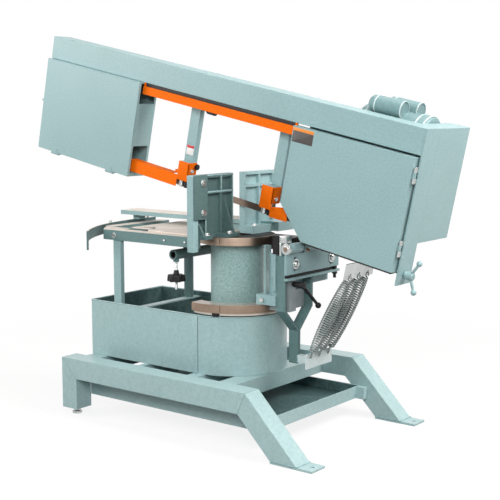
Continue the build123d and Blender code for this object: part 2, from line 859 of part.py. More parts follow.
with BuildPart() as upper_shoe:
    shoe_height = upper_ring_top - hinge_plate_top
    box(shoe_left, yoke_left, shoe_front, shoe_half, hinge_plate_top, upper_ring_top)
    box(yoke_left - shoe_wall, yoke_left, -shoe_half, shoe_half, hinge_plate_top, upper_ring_top)
    box(yoke_left - shoe_wall, stop_block_right, hinge_plate_front, stop_block_back,
        hinge_plate_top, hook_block_top)
    rod((0, 0, hinge_plate_top), up, column_radius + shoe_column_gap, shoe_height, Mode.SUBTRACT)
    rod((0, 0, upper_ring_bottom - slide_gap), up, upper_ring_diameter / 2 + swivel_gap,
        ring_thickness + slide_gap, Mode.SUBTRACT)
save(upper_shoe, "upper_shoe")

with BuildPart() as lower_shoe:
    box(lower_shoe_left, yoke_left, -lower_shoe_half, lower_shoe_half,
        lower_ring_top + slide_gap, lower_shoe_top)
save(lower_shoe, "lower_shoe")

with BuildPart() as swivel_carriage:
    wall_left = yoke_left - back_plate
    rear_strip_y = strip_half_span - strip_thickness
    for y, top in ((-strip_half_span, front_strip_top), (rear_strip_y, hinge_plate_top)):
        box(strip_left, strip_right, y, y + strip_thickness, lower_shoe_top, top)
        box(strip_right, wall_left, y + strip_thickness / 2, y + strip_thickness,
            lower_shoe_top, hinge_plate_top)
    box(wall_left, yoke_left, hinge_plate_front, hinge_plate_rear, back_plate_bottom, hinge_plate_top)
    box(wall_left, yoke_left, -strip_half_span, strip_half_span, lower_shoe_top, back_plate_bottom)
    box(wall_left - doubler, wall_left, hinge_plate_front, hinge_plate_front + doubler_width,
        flange_top, hinge_plate_top)
    box(hook_block_left, hook_wall_right, hinge_plate_front, hook_block_back,
        hook_block_bottom, hook_block_top)
    box(hook_block_left, hook_block_right, hinge_plate_front, hook_block_back,
        hinge_z + collar_radius + swivel_gap, hook_block_top)
    box(yoke_left, hook_wall_right, -strip_half_span, hook_block_back, hook_bar_bottom, hinge_plate_top)
    for y0, y1 in pads:
        box(yoke_left, plate_left, y0, y1, flange_bottom, pad_top)
    box(plate_left, plate_left + flange_reach, hinge_plate_front, hinge_plate_rear, flange_bottom, flange_top)
    for y in hinge_bolt_ys:
        rod((wall_left, y, hinge_bolt_z), right, hinge_bolt_radius + pin_gap, plate_left - wall_left,
            Mode.SUBTRACT)
    rod((jack_screw_x, jack_screw_y, flange_bottom), up, jack_screw_radius + pin_gap, flange_thickness,
        Mode.SUBTRACT)
save(swivel_carriage, "swivel_carriage")

with BuildPart() as hinge_plate:
    box(plate_left, plate_right, hinge_plate_front, hinge_plate_rear, hinge_plate_bottom, hinge_plate_top)
    for y0, y1 in (front_barrel, rear_barrel):
        rod((hinge_x, y0, hinge_z), back, barrel_radius, y1 - y0)
        box(plate_left, plate_right, y0, y1, hinge_plate_top, hinge_z)
        rod((hinge_x, y0, hinge_z), back, shaft_diameter / 2, y1 - y0, Mode.SUBTRACT)
    slot_half, slot_rise = hinge_bolt_slot
    for y in hinge_bolt_ys:
        box(plate_left, plate_right, y - slot_half, y + slot_half,
            hinge_bolt_z - slot_rise, hinge_bolt_z + slot_rise, Mode.SUBTRACT)
save(hinge_plate, "hinge_plate")

with BuildPart() as hinge_shaft:
    rod((hinge_x, shaft_front, hinge_z), back, shaft_diameter / 2, shaft_rear - shaft_front)
    for y in (front_barrel[0] - collar_width, rear_barrel[1]):
        rod((hinge_x, y, hinge_z), back, collar_radius, collar_width)
save(hinge_shaft, "hinge_shaft")

with BuildPart() as hinge_fasteners:
    for y in hinge_bolt_ys:
        bolt_start = yoke_left - back_plate - 2
        rod((bolt_start, y, hinge_bolt_z), right, hinge_bolt_radius, plate_right + 2 - bolt_start)
        rod((plate_right, y, hinge_bolt_z), right, hinge_washer_radius, hinge_washer)
        hexagon((plate_right + hinge_washer, y, hinge_bolt_z), right, hinge_nut_radius, hinge_nut_height)
    jack_foot = (jack_screw_x, jack_screw_y, jack_screw_bottom)
    rod(jack_foot, up, jack_screw_radius, hinge_plate_bottom - jack_screw_bottom)
    hexagon((jack_screw_x, jack_screw_y, flange_bottom - small_bolt), up, large_bolt, small_bolt)
    hexagon((shoe_bolt_x, -lower_shoe_half, shoe_bolt_z), -back, small_bolt, bolt_head)
save(hinge_fasteners, "hinge_fasteners")

with BuildPart() as lock_block:
    lock_front = lock_y - lock_block_half
    lock_back = lock_y + lock_block_half
    box(yoke_left, yoke_right + 6, lock_front, lock_back, lock_block_bottom, flange_bottom - 1)
    box(yoke_left, yoke_left + clamp_plate, lock_back, clamp_plate_back, lock_block_bottom, clamp_plate_top)
    box(lock_block_left, yoke_left, lock_front, lock_back, lock_block_bottom, lower_ring_top - 2)
    rod((0, 0, lower_ring_bottom), up, lower_ring_diameter / 2 + swivel_gap, 2 * ring_thickness,
        Mode.SUBTRACT)
    rod((yoke_left + 10, lock_y, lock_z), right, lock_screw_radius + pin_gap, yoke_width, Mode.SUBTRACT)
save(lock_block, "lock_block")

with BuildPart() as lock_lever:
    hub_small, hub_large, hub_length = lock_hub
    rod((yoke_left + 14, lock_y, lock_z), right, lock_screw_radius, lock_screw_length)
    with Locations(Plane(origin=(yoke_right + 10, lock_y, lock_z), z_dir=right).location):
        Cone(hub_small, hub_large, hub_length, align=(Align.CENTER, Align.CENTER, Align.MIN))
    lever_root = Vector(yoke_right + hub_length, lock_y, lock_z)
    reach = Vector(*lock_reach)
    rod(lever_root, reach, lock_lever_radius, reach.length)
    with Locations(lever_root + reach):
        Sphere(lock_ball)
save(lock_lever, "lock_lever")

# Counterbalance springs between the yoke and the head
with BuildPart() as spring_anchor:
    box(yoke_right, anchor_x, -yoke_bar, yoke_bar, anchor_bottom, anchor_bar_top)
    box(anchor_x - hook_plate / 2, anchor_x + hook_plate / 2, -anchor_half_width, anchor_half_width,
        anchor_bottom, anchor_z + 15)
    for y in hook_ys:
        hole = (anchor_x - hook_plate, y, anchor_z + hook_seat - hook_hole / 2)
        rod(hole, right, hook_hole / 2, 2 * hook_plate, Mode.SUBTRACT)
save(spring_anchor, "spring_anchor")


def spring_points(y):
    """Points and tangents along one extension spring, hook to hook."""
    low = Vector(anchor_x, y, anchor_z)
    high = head_point(bracket_u, y, hook_v)
    axis = (high - low).normalized()
    third = axis.cross(back)
    radius = (spring_outer - spring_wire) / 2
    pitch = ((high - low).length - 2 * spring_lead) / spring_turns
    points = [low - right * hook + up * (hook + spring_wire), low - right * hook + up * hook, low,
              low + right * hook + up * hook, low + axis * (spring_lead - spring_bend)]
    tangents = [-up, -up, right, up, axis]
    for half in range(2 * spring_turns + 1):
        turn = pi * half
        points.append(low + axis * (spring_lead + pitch * half / 2) + back * (radius * cos(turn)))
        tangents.append((axis * (pitch / 2) + third * (pi * radius * cos(turn))).normalized())
    points += [high - axis * (spring_lead - spring_bend), high - along * hook - across * hook, high,
               high + along * hook - across * hook, high + along * hook - across * (hook + spring_wire)]
    tangents += [axis, across, along, -across, -across]
    return points, tangents


for name, y in zip(("spring_front", "spring_middle", "spring_rear"), hook_ys):
    spring_at, spring_along = spring_points(y)
    with BuildPart() as spring:
        with BuildLine() as wire_line:
            for first, last, leave, arrive in zip(spring_at, spring_at[1:], spring_along, spring_along[1:]):
                bend = 2 * (1 - leave.dot(arrive))
                chord = last - first
                lead = chord.dot(leave + arrive)
                if bend < 1e-9:
                    Line(first, last)
                else:
                    length = (sqrt(lead * lead + bend * chord.dot(chord)) - lead) / bend
                    joint = (first + leave * length + last - arrive * length) * 0.5
                    curve = TangentArc(first, joint, tangent=leave)
                    TangentArc(joint, last, tangent=curve % 1)
        with BuildSketch(Plane(origin=spring_at[0], z_dir=spring_along[0])):
            Circle(spring_wire / 2)
        sweep()
    save(spring, name)
    if y == 0:
        samples = []
        run = 0.0
        for edge in wire_line.line.edges():
            for count in range(8):
                samples.append((run + edge.length * count / 8, edge @ (count / 8)))
            run += edge.length
        gap = min((b[1] - a[1]).length for a in samples for b in samples if b[0] - a[0] > 5 * spring_wire)
        print("least gap between spring turns", round(gap - spring_wire, 2))


# Saw head frame
with BuildPart() as head_beam:
    head_box(beam_left, beam_right, beam_front, beam_back, beam_bottom, beam_top)
    head_box(beam_left + beam_wall, beam_right, beam_front + beam_wall, beam_back - beam_wall,
             beam_bottom + beam_wall, beam_top - beam_wall, Mode.SUBTRACT)
save(head_beam, "head_beam")

with BuildPart() as drive_case:
    with BuildSketch(side(case_back)):
        with BuildLine():
            Polyline((drive_left, beam_bottom), (drive_left, chamfer_v), (chamfer_u, case_floor),
                     (beam_right, case_floor), (beam_right, beam_bottom), close=True)
        make_face()
    extrude(amount=sheet)
    head_box(chamfer_u, beam_right, case_floor_front, case_back, case_floor, case_floor + sheet)
    head_box(beam_right, end_u, beam_front, beam_back, tongue_bottom, beam_top)
    head_rod(drive_u, case_back - 2 * sheet, wheel_v, back, drive_shaft_radius + pin_gap, 3 * sheet,
             Mode.SUBTRACT)
    head_rod(beam_right, handle_y, handle_v, along, handle_screw_radius + pin_gap, end_plate, Mode.SUBTRACT)
save(drive_case, "drive_case")

with BuildPart() as head_barrel:
    barrel_start = Vector(hinge_x, front_barrel[1] + slide_gap, hinge_z)
    barrel_length = rear_barrel[0] - front_barrel[1] - 2 * slide_gap
    rod(barrel_start, back, barrel_radius, barrel_length)
    with BuildSketch(side(case_back + ear_thickness)):
        with BuildLine():
            Polyline(*ear_outline, close=True)
        make_face()
    extrude(amount=ear_thickness)
    rod(barrel_start, back, shaft_diameter / 2 + pin_gap, barrel_length, Mode.SUBTRACT)
save(head_barrel, "head_barrel")

with BuildPart() as belt_guard:
    head_box(guard_left, end_u, guard_front, guard_back, guard_bottom, beam_top)
    head_box(guard_left + guard_sheet, end_u - guard_sheet,
             guard_front + guard_sheet, guard_back - guard_sheet,
             guard_bottom + guard_sheet, beam_top - guard_sheet, Mode.SUBTRACT)
    for y, v in ((motor_y, motor_v), (gear_y, worm_v)):
        head_rod(guard_left, y, v, along, guard_shaft_hole, 2 * guard_sheet, Mode.SUBTRACT)
save(belt_guard, "belt_guard")

with BuildPart() as idler_case:
    head_box(idler_left, idler_right, cover_front + sheet, case_back, idler_bottom, beam_bottom)
    head_box(idler_left + sheet, idler_right - sheet, cover_front, case_back - sheet,
             idler_bottom + sheet, beam_bottom - sheet, Mode.SUBTRACT)
    for low, high in ((upper_v - 48, upper_v + 30), (idler_bottom + 12, blade_v + 89)):
        head_box(idler_right - sheet, idler_right, -blade_gate_half, blade_gate_half, low, high,
                 Mode.SUBTRACT)
    head_rod(idler_left, tension_screw_y, wheel_v, along, tension_screw_radius + pin_gap, sheet,
             Mode.SUBTRACT)
    pin_y = cover_front + sheet
    for u in idler_hinge_us:
        pin_half = idler_knuckle_half + idler_lug + 1
        for lug_u in (u - pin_half, u + pin_half - idler_lug):
            head_rod(lug_u, pin_y, idler_hinge_v, along, idler_knuckle, idler_lug)
            head_box(lug_u, lug_u + idler_lug, pin_y, pin_y + 20, idler_hinge_v - 1, idler_bottom)
        head_rod(u - pin_half, pin_y, idler_hinge_v, along, idler_pin, 2 * pin_half)
    latch_start = idler_left - latch_reach
    latch_length = latch_reach - latch_ball + sheet
    head_rod(latch_start + latch_ball, latch_y, latch_v, along, latch_radius, latch_length)
    with Locations(head_point(latch_start + latch_ball, latch_y, latch_v)):
        Sphere(latch_ball)
save(idler_case, "idler_case")

with BuildPart() as idler_door:
    head_box(idler_left, idler_right, cover_front, cover_front + door_skin, idler_bottom, beam_bottom - 2)
    for u in idler_hinge_us:
        knuckle_start = u - idler_knuckle_half
        head_rod(knuckle_start, pin_y, idler_hinge_v, along, idler_knuckle, 2 * idler_knuckle_half)
        head_box(knuckle_start, u + idler_knuckle_half, cover_front - 1.5, cover_front + 1,
                 idler_hinge_v, idler_bottom + idler_hinge_leaf)
        head_rod(knuckle_start, pin_y, idler_hinge_v, along, idler_pin + pin_gap, 2 * idler_knuckle_half,
                 Mode.SUBTRACT)
save(idler_door, "idler_door")

with BuildPart() as return_guard:
    return_left = idler_right + 1
    return_right = drive_left - 2
    return_top = upper_v + 23
    head_box(return_left, return_right, guard_front_y, guard_front_y + guard_plate, upper_v - 8, return_top)
    head_box(return_left, return_right, guard_front_y, 15, return_top - guard_plate, return_top)
    for u in (return_left, return_right - 8):
        head_box(u, u + 8, beam_front, beam_front + 8, return_top - guard_plate, beam_bottom)
save(return_guard, "return_guard")

# Band saw blade: flat round the wheels, turned on edge between the guides
with BuildPart() as blade:
    loop_radius = wheel_diameter / 2
    for inset, mode in ((blade_thickness, Mode.ADD), (0, Mode.SUBTRACT)):
        with BuildSketch(side(blade_width / 2)):
            with Locations((idler_u, wheel_v), (drive_u, wheel_v)):
                Circle(loop_radius + inset)
            with Locations(((idler_u + drive_u) / 2, wheel_v)):
                Rectangle(drive_u - idler_u, 2 * (loop_radius + inset))
        extrude(amount=blade_width, mode=mode)
    left_turn = (idler_u + left_twist[0], left_arm_u - left_twist[1])
    right_turn = (right_arm_u + right_twist[0], drive_u - right_twist[1])
    head_box(left_turn[0], right_turn[1], -blade_width, blade_width, blade_v - 5, blade_v + 5, Mode.SUBTRACT)
    for start, end, first, last in (left_turn + (0, 90), right_turn + (90, 0)):
        for step in range(twist_steps):
            for count in (step, step + 1):
                share = count / twist_steps
                with BuildSketch(cross(start + (end - start) * share)):
                    with Locations((0, blade_v)):
                        Rectangle(blade_width, blade_thickness, rotation=first + (last - first) * share)
            loft(ruled=True)
    head_box(left_turn[1] + pin_gap, right_turn[0] - pin_gap, -blade_thickness / 2, blade_thickness / 2,
             blade_v - blade_width / 2, blade_v + blade_width / 2)
save(blade, "blade")

# Guides
with BuildPart() as right_guide_arm:
    head_box(right_arm_u, right_arm_u + arm_width, arm_front, arm_front + arm_depth, arm_bottom, beam_bottom)
save(right_guide_arm, "right_guide_arm")

with BuildPart() as left_guide_arm:
    arm_top = beam_bottom - slide_gap
    lip_left = left_arm_u - saddle_lip
    lip_right = left_arm_right + saddle_lip
    lip_back = beam_back + saddle_lip
    head_box(left_arm_u, left_arm_right, arm_front, arm_front + arm_depth, arm_bottom, arm_top)
    head_box(lip_left, lip_right, arm_front, lip_back, saddle_bottom, arm_top)
    head_box(lip_left, lip_right, beam_back + slide_gap, lip_back, saddle_bottom, beam_bottom + saddle_rise)
    head_rod(left_arm_right - 20, knob_y, knob_v, along, knob_screw_radius + pin_gap, 20, Mode.SUBTRACT)
save(left_guide_arm, "left_guide_arm")

with BuildPart() as guide_knob:
    head_rod(left_arm_right - 18, knob_y, knob_v, along, knob_screw_radius, 60)
    head_rod(left_arm_right + 20, knob_y, knob_v, along, knob_neck_radius, 20)
    head_rod(left_arm_right + 27, knob_y, knob_v, along, knob_radius, knob_length)
save(guide_knob, "guide_knob")

for name, arm_u, span in (
        ("left_guide", left_arm_u, left_guide_span),
        ("right_guide", right_arm_u, right_guide_span)):
    u0 = arm_u + span[0]
    u1 = arm_u + span[1]
    low, high = span[2:]
    with BuildPart() as guide:
        head_box(u0, u1, guide_front, guide_front + guide_plate, low, high)
        head_box(u1 - guide_plate, u1, guide_front, guide_side_back, low + guide_side_lift, high)
        head_box(u0 + guide_plate, u1 - guide_plate, guide_front, arm_front, guide_block_bottom, high)
        for u in roller_us:
            for y in (-roller_offset, roller_offset):
                head_rod(u0 + u, y, roller_bottom, across, roller_radius, roller_height)
                head_rod(u0 + u, y, roller_bottom + roller_height - 2, across, roller_pin, 40)
        head_rod(u0 + backing_u, -backing_half, backing_v, back, backing_radius, 2 * backing_half)
        head_rod(u0 + backing_u, -8, backing_v, across, 4, 30)
        if name == "right_guide":
            with BuildSketch(side(guard_front_y + guard_plate)):
                with BuildLine():
                    Polyline(*[(u1 + u, v) for u, v in guide_guard_outline], close=True)
                make_face()
            extrude(amount=guard_plate)
            head_box(u1 - guide_plate, u1 + 60, guard_front_y, -8, low + 6, low + 6 + guard_plate)
    save(guide, name)

with BuildPart() as left_guard:
    lip_low = left_guard_high - guard_plate
    head_box(idler_right - 18, left_arm_u + 17, guard_front_y, guard_front_y + guard_plate,
             left_guard_low, left_guard_high)
    head_box(idler_right - 18, left_arm_u - 9, guard_front_y, 10, lip_low, left_guard_high)
    head_box(left_arm_u - 29, left_arm_u + 11, 8, arm_front, lip_low, lip_low + 10)
save(left_guard, "left_guard")

# Motor, worm drive and wheels
with BuildPart() as motor:
    head_rod(motor_left, motor_y, motor_v, along, motor_diameter / 2, motor_length)
    head_box(motor_foot[0], motor_foot[1], beam_back, motor_y, motor_v - 25, motor_v + 15)
    head_rod(190, motor_y, motor_v, along, motor_shaft_radius + pin_gap, 160, Mode.SUBTRACT)
save(motor, "motor")

with BuildPart() as capacitor_covers:
    for u, y, long in cans:
        head_rod(u, y, motor_v + can_rise, along, can_radius, long)
    head_rod(motor_left - 5, motor_y, motor_v, along, motor_diameter / 2, motor_length + 10, Mode.SUBTRACT)
save(capacitor_covers, "capacitor_covers")

with BuildPart() as gear_case:
    gear_low = wheel_v - gear_diameter / 2 - gear_case_wall
    gear_high = worm_v + worm_diameter / 2 + 10
    inner_half = gear_case_half - gear_case_wall
    head_box(drive_u - gear_case_half, drive_u + gear_case_half, case_back, gear_y + gear_case_back,
             gear_low - gear_case_wall, gear_high + gear_case_wall)
    head_box(drive_u - inner_half, drive_u + inner_half, case_back + gear_case_wall,
             gear_y + gear_case_back - gear_case_wall, gear_low, gear_high, Mode.SUBTRACT)
    head_rod(drive_u, case_back, wheel_v, back, drive_shaft_radius + pin_gap, 2 * gear_case_wall,
             Mode.SUBTRACT)
    head_rod(drive_u + inner_half - gear_case_wall, gear_y, worm_v, along, worm_shaft_radius + pin_gap,
             3 * gear_case_wall, Mode.SUBTRACT)
save(gear_case, "gear_case")


def wheel(u, hub_back):
    """Band wheel at u: rim, web with round holes, and a hub that reaches back past the rim."""
    front = -wheel_width / 2
    recess = (wheel_width - wheel_web) / 2
    head_rod(u, front, wheel_v, back, wheel_radius, wheel_width)
    for y in (front, wheel_web / 2):
        head_rod(u, y, wheel_v, back, wheel_radius - wheel_rim, recess, Mode.SUBTRACT)
    for count in range(wheel_holes):
        turn = 2 * pi * count / wheel_holes
        hole_u = u + wheel_hole_circle * cos(turn)
        hole_v = wheel_v + wheel_hole_circle * sin(turn)
        head_rod(hole_u, -wheel_web, hole_v, back, wheel_hole_radius, 2 * wheel_web, Mode.SUBTRACT)
    head_rod(u, front, wheel_v, back, wheel_hub, wheel_width + hub_back)


with BuildPart() as drive_wheel:
    wheel(drive_u, 6)
    shaft_start = -wheel_width / 2 - 2
    head_rod(drive_u, shaft_start, wheel_v, back, drive_shaft_radius, gear_y + 30 - shaft_start)
    head_rod(drive_u, gear_y - gear_width / 2, wheel_v, back, gear_diameter / 2, gear_width)
save(drive_wheel, "drive_wheel")

with BuildPart() as idler_axle:
    head_box(idler_u - idler_block_half, idler_u + idler_block_half, 20, case_back - sheet,
             wheel_v - idler_block_half, wheel_v + idler_block_half)
    head_rod(idler_u, -20, wheel_v, back, idler_shaft_radius, 40)
    screw_start = idler_left - tension_screw_reach
    head_rod(screw_start, tension_screw_y, wheel_v, along, tension_screw_radius, idler_u - 12 - screw_start)
    nut_start = head_point(idler_left - tension_nut, tension_screw_y, wheel_v)
    hexagon(nut_start, along, tension_nut_radius, tension_nut)
save(idler_axle, "idler_axle")

with BuildPart() as idler_wheel:
    wheel(idler_u, 4)
    head_rod(idler_u, -wheel_width, wheel_v, back, idler_shaft_radius + pin_gap, 2 * wheel_width,
             Mode.SUBTRACT)
save(idler_wheel, "idler_wheel")


def pulley(y, v, diameter):
    """Grooved pulley in the belt guard."""
    head_rod(pulley_u, y, v, along, diameter / 2, pulley_width)
    with BuildSketch(cross(pulley_u + groove_inset)) as groove:
        with Locations((y, v)):
            Circle(diameter / 2)
            Circle(diameter / 2 - groove_depth, mode=Mode.SUBTRACT)
    extrude(groove.sketch, amount=groove_width, mode=Mode.SUBTRACT)


with BuildPart() as worm_shaft:
    head_rod(worm_shaft_left, gear_y, worm_v, along, worm_shaft_radius, worm_shaft_length)
    head_rod(drive_u - worm_length / 2, gear_y, worm_v, along, worm_diameter / 2, worm_length)
    pulley(gear_y, worm_v, worm_pulley_diameter)
save(worm_shaft, "worm_shaft")

with BuildPart() as motor_pulley:
    head_rod(195, motor_y, motor_v, along, motor_shaft_radius, 205)
    pulley(motor_y, motor_v, motor_pulley_diameter)
save(motor_pulley, "motor_pulley")

with BuildPart() as belt:
    for grow, mode in ((belt_thickness, Mode.ADD), (0, Mode.SUBTRACT)):
        with BuildSketch(cross(pulley_u + groove_inset + (groove_width - belt_width) / 2)):
            for y, v, diameter in (
                    (gear_y, worm_v, worm_pulley_diameter), (motor_y, motor_v, motor_pulley_diameter)):
                with Locations((y, v)):
                    Circle(diameter / 2 - groove_depth + slide_gap + grow)
            make_hull()
        extrude(amount=belt_width, mode=mode)
save(belt, "belt")

# Door, spring bracket and handle
with BuildPart() as door_hinges:
    for low, high in hinge_spans:
        for part_low in (low, high - knuckle_length):
            head_rod(door_axis_u, door_axis_y, part_low, across, knuckle_radius, knuckle_length)
            head_box(door_axis_u - door_leaf / 2, door_axis_u + door_leaf / 2, door_axis_y, beam_front,
                     part_low, part_low + knuckle_length)
        head_rod(door_axis_u, door_axis_y, low, across, door_pin, high - low)
save(door_hinges, "door_hinges")

with BuildPart() as drive_door:
    for inset, corner, depth, mode in ((0, 0, door_back - cover_front, Mode.ADD),
                                       (door_skin, 1, door_back - cover_front - door_skin, Mode.SUBTRACT)):
        with BuildSketch(side(door_back)):
            with BuildLine():
                Polyline((drive_left + inset, door_top - inset), (drive_left + inset, chamfer_v + corner),
                         (chamfer_u + corner, drive_bottom + inset),
                         (door_right - inset, drive_bottom + inset),
                         (door_right - inset, door_top - inset), close=True)
            make_face()
        extrude(amount=depth, mode=mode)
    for low, high in hinge_spans:
        knuckle_low = low + knuckle_length + slide_gap
        knuckle_high = high - knuckle_length - slide_gap
        head_rod(door_axis_u, door_axis_y, knuckle_low, across, knuckle_radius, knuckle_high - knuckle_low)
        head_box(door_right - 1, door_axis_u, door_axis_y - door_leaf / 2, door_axis_y + door_leaf / 2,
                 knuckle_low, knuckle_high)
        head_rod(door_axis_u, door_axis_y, low, across, door_pin + pin_gap, high - low, Mode.SUBTRACT)
save(drive_door, "drive_door")

with BuildPart() as spring_bracket:
    bracket_left = bracket_u - hook_plate / 2
    bracket_right = bracket_u + hook_plate / 2
    head_box(bracket_u - bracket_half, bracket_u + bracket_half, case_floor_front, case_back,
             case_floor - 4, case_floor)
    head_box(bracket_left, bracket_right, handle_y - 25, handle_y + 30, bracket_shoulder - 5, case_floor - 2)
    head_box(bracket_left, bracket_right, -bracket_half_width, bracket_half_width,
             bracket_bottom, bracket_shoulder)
    head_rod(bracket_left, handle_y, handle_v, along, handle_screw_radius + pin_gap, hook_plate,
             Mode.SUBTRACT)
    for y in hook_ys:
        hole_v = hook_v - hook_seat + hook_hole / 2
        head_rod(bracket_left, y, hole_v, along, hook_hole / 2, hook_plate, Mode.SUBTRACT)
save(spring_bracket, "spring_bracket")

with BuildPart() as spring_handle:
    head_rod(bracket_u - 25, handle_y, handle_v, along, handle_screw_radius, end_u - bracket_u + 50)
    head_rod(end_u + 2, handle_y, handle_v, along, handle_hub_radius, handle_hub_length)
    for sign in (-1, 1):
        direction = (across * sign + along * handle_lean).normalized()
        head_rod(end_u + 22, handle_y, handle_v, direction, handle_bar_radius, handle_bar_length)
        with Locations(head_point(end_u + 22, handle_y, handle_v) + direction * (handle_bar_length + 2)):
            Sphere(handle_ball)
save(spring_handle, "spring_handle")
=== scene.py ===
"""Looks of a mitre band saw: softened frame pieces, new details, finishes, light and camera.

Sizes are in millimetres until a mesh is made. The saw head has its own coordinates: u along the beam,
y to the back and v across the beam, with zero on the hinge.
"""
import json

import bmesh
import bpy
import numpy as np
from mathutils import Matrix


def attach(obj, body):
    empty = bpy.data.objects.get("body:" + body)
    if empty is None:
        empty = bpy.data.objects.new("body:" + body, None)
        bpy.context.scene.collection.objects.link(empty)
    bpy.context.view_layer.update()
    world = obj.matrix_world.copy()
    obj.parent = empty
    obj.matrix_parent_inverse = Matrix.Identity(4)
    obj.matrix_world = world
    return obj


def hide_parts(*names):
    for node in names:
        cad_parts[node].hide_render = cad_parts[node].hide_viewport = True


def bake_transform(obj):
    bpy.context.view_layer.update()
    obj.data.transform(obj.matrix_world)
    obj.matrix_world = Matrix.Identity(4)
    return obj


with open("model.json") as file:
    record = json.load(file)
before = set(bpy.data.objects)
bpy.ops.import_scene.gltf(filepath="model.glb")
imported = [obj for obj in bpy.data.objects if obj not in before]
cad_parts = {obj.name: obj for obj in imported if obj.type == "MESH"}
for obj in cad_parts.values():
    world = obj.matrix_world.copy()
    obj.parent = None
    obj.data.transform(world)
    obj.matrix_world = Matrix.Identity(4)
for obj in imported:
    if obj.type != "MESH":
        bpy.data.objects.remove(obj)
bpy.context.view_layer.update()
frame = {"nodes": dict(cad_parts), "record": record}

MILLIMETRE = 0.001
TILT = np.radians(11.7)
HINGE = np.array([290.0, 0.0, 671.0])
RIGHT = np.array([1.0, 0.0, 0.0])
BACK = np.array([0.0, 1.0, 0.0])
UP = np.array([0.0, 0.0, 1.0])
ALONG = np.array([np.cos(TILT), 0.0, -np.sin(TILT)])
ACROSS = np.array([np.sin(TILT), 0.0, np.cos(TILT)])
WHITE = (1.0, 1.0, 1.0, 1.0)


# Shader tools
def linear(code):
    """Linear colour of an sRGB hex value: a straight foot, then a power of 2.4."""
    part = np.array([int(code[k:k + 2], 16) for k in (1, 3, 5)]) / 255.0
    part = np.where(part <= 0.04045, part / 12.92, ((part + 0.055) / 1.055) ** 2.4)
    return (*part.tolist(), 1.0)


def per_metre(width):
    """Scale of a pattern whose marks are a width in millimetres across."""
    return 1000.0 / width


def add(tree, kind, settings=None, inputs=None, stops=None):
    """Add one shader node, set its properties, and set or link its inputs."""
    made = tree.nodes.new(kind)
    for name, value in (settings or {}).items():
        setattr(made, name, value)
    for name, value in (inputs or {}).items():
        if isinstance(value, bpy.types.NodeSocket):
            tree.links.new(value, made.inputs[name])
        else:
            made.inputs[name].default_value = value
    for count, (place, code) in enumerate(stops or []):
        ramp = made.color_ramp.elements
        stop = ramp[count] if count < len(ramp) else ramp.new(place)
        stop.position = place
        stop.color = linear(code)
    return made


def finish(name):
    """A new material, its empty node tree and its object coordinates."""
    material = bpy.data.materials.new(name)
    material.use_nodes = True
    material.node_tree.nodes.clear()
    return material, material.node_tree, add(material.node_tree, "ShaderNodeTexCoord").outputs["Object"]


def enamel(name, light, dark, cell, depth, gloss, coat=0.08, shine=0.3, spread=0.325):
    """Enamel on steel. The paint pulls into shallow cells a few millimetres wide, so it shows a fine mottle
    of lighter and darker paint, broken highlights and a slow drift of tone over a quarter of a metre. A
    smaller spread about the middle tone makes the speckles stronger."""
    drift_width = 250.0
    cloud_share = 0.48
    middle = 1.02
    material, tree, place = finish(name)
    cells = add(tree, "ShaderNodeTexVoronoi", {"feature": "SMOOTH_F1"},
                {"Vector": place, "Scale": per_metre(cell), "Smoothness": 0.5}).outputs["Distance"]
    cloud = add(tree, "ShaderNodeTexNoise", {},
                {"Vector": place, "Scale": cloud_share * per_metre(cell), "Detail": 4.0}).outputs["Fac"]
    drift = add(tree, "ShaderNodeTexNoise", {},
                {"Vector": place, "Scale": per_metre(drift_width), "Detail": 3.0}).outputs["Fac"]
    mottle = add(tree, "ShaderNodeMath", {"operation": "MULTIPLY_ADD"}, {0: cells, 1: 0.7, 2: cloud})
    mottle = mottle.outputs[0]
    tone = add(tree, "ShaderNodeMath", {"operation": "MULTIPLY_ADD"}, {0: drift, 1: 0.5, 2: mottle})
    tone = add(tree, "ShaderNodeMapRange", {}, {
        "Value": tone.outputs[0], "From Min": middle - spread, "From Max": middle + spread}).outputs["Result"]
    colour = add(tree, "ShaderNodeValToRGB", {}, {"Fac": tone}, [(0.0, dark), (1.0, light)]).outputs["Color"]
    rough = add(tree, "ShaderNodeMapRange", {}, {
        "Value": cloud, "To Min": gloss - 0.08, "To Max": gloss + 0.08})
    bump = add(tree, "ShaderNodeBump", {}, {"Height": mottle, "Strength": depth, "Distance": 0.0004})
    paint = add(tree, "ShaderNodeBsdfPrincipled", {}, {
        "Base Color": colour, "Roughness": rough.outputs["Result"], "Normal": bump.outputs["Normal"],
        "Coat Weight": coat, "Coat Roughness": 0.25, "Specular IOR Level": shine})
    add(tree, "ShaderNodeOutputMaterial", {}, {"Surface": paint.outputs[0]})
    return material


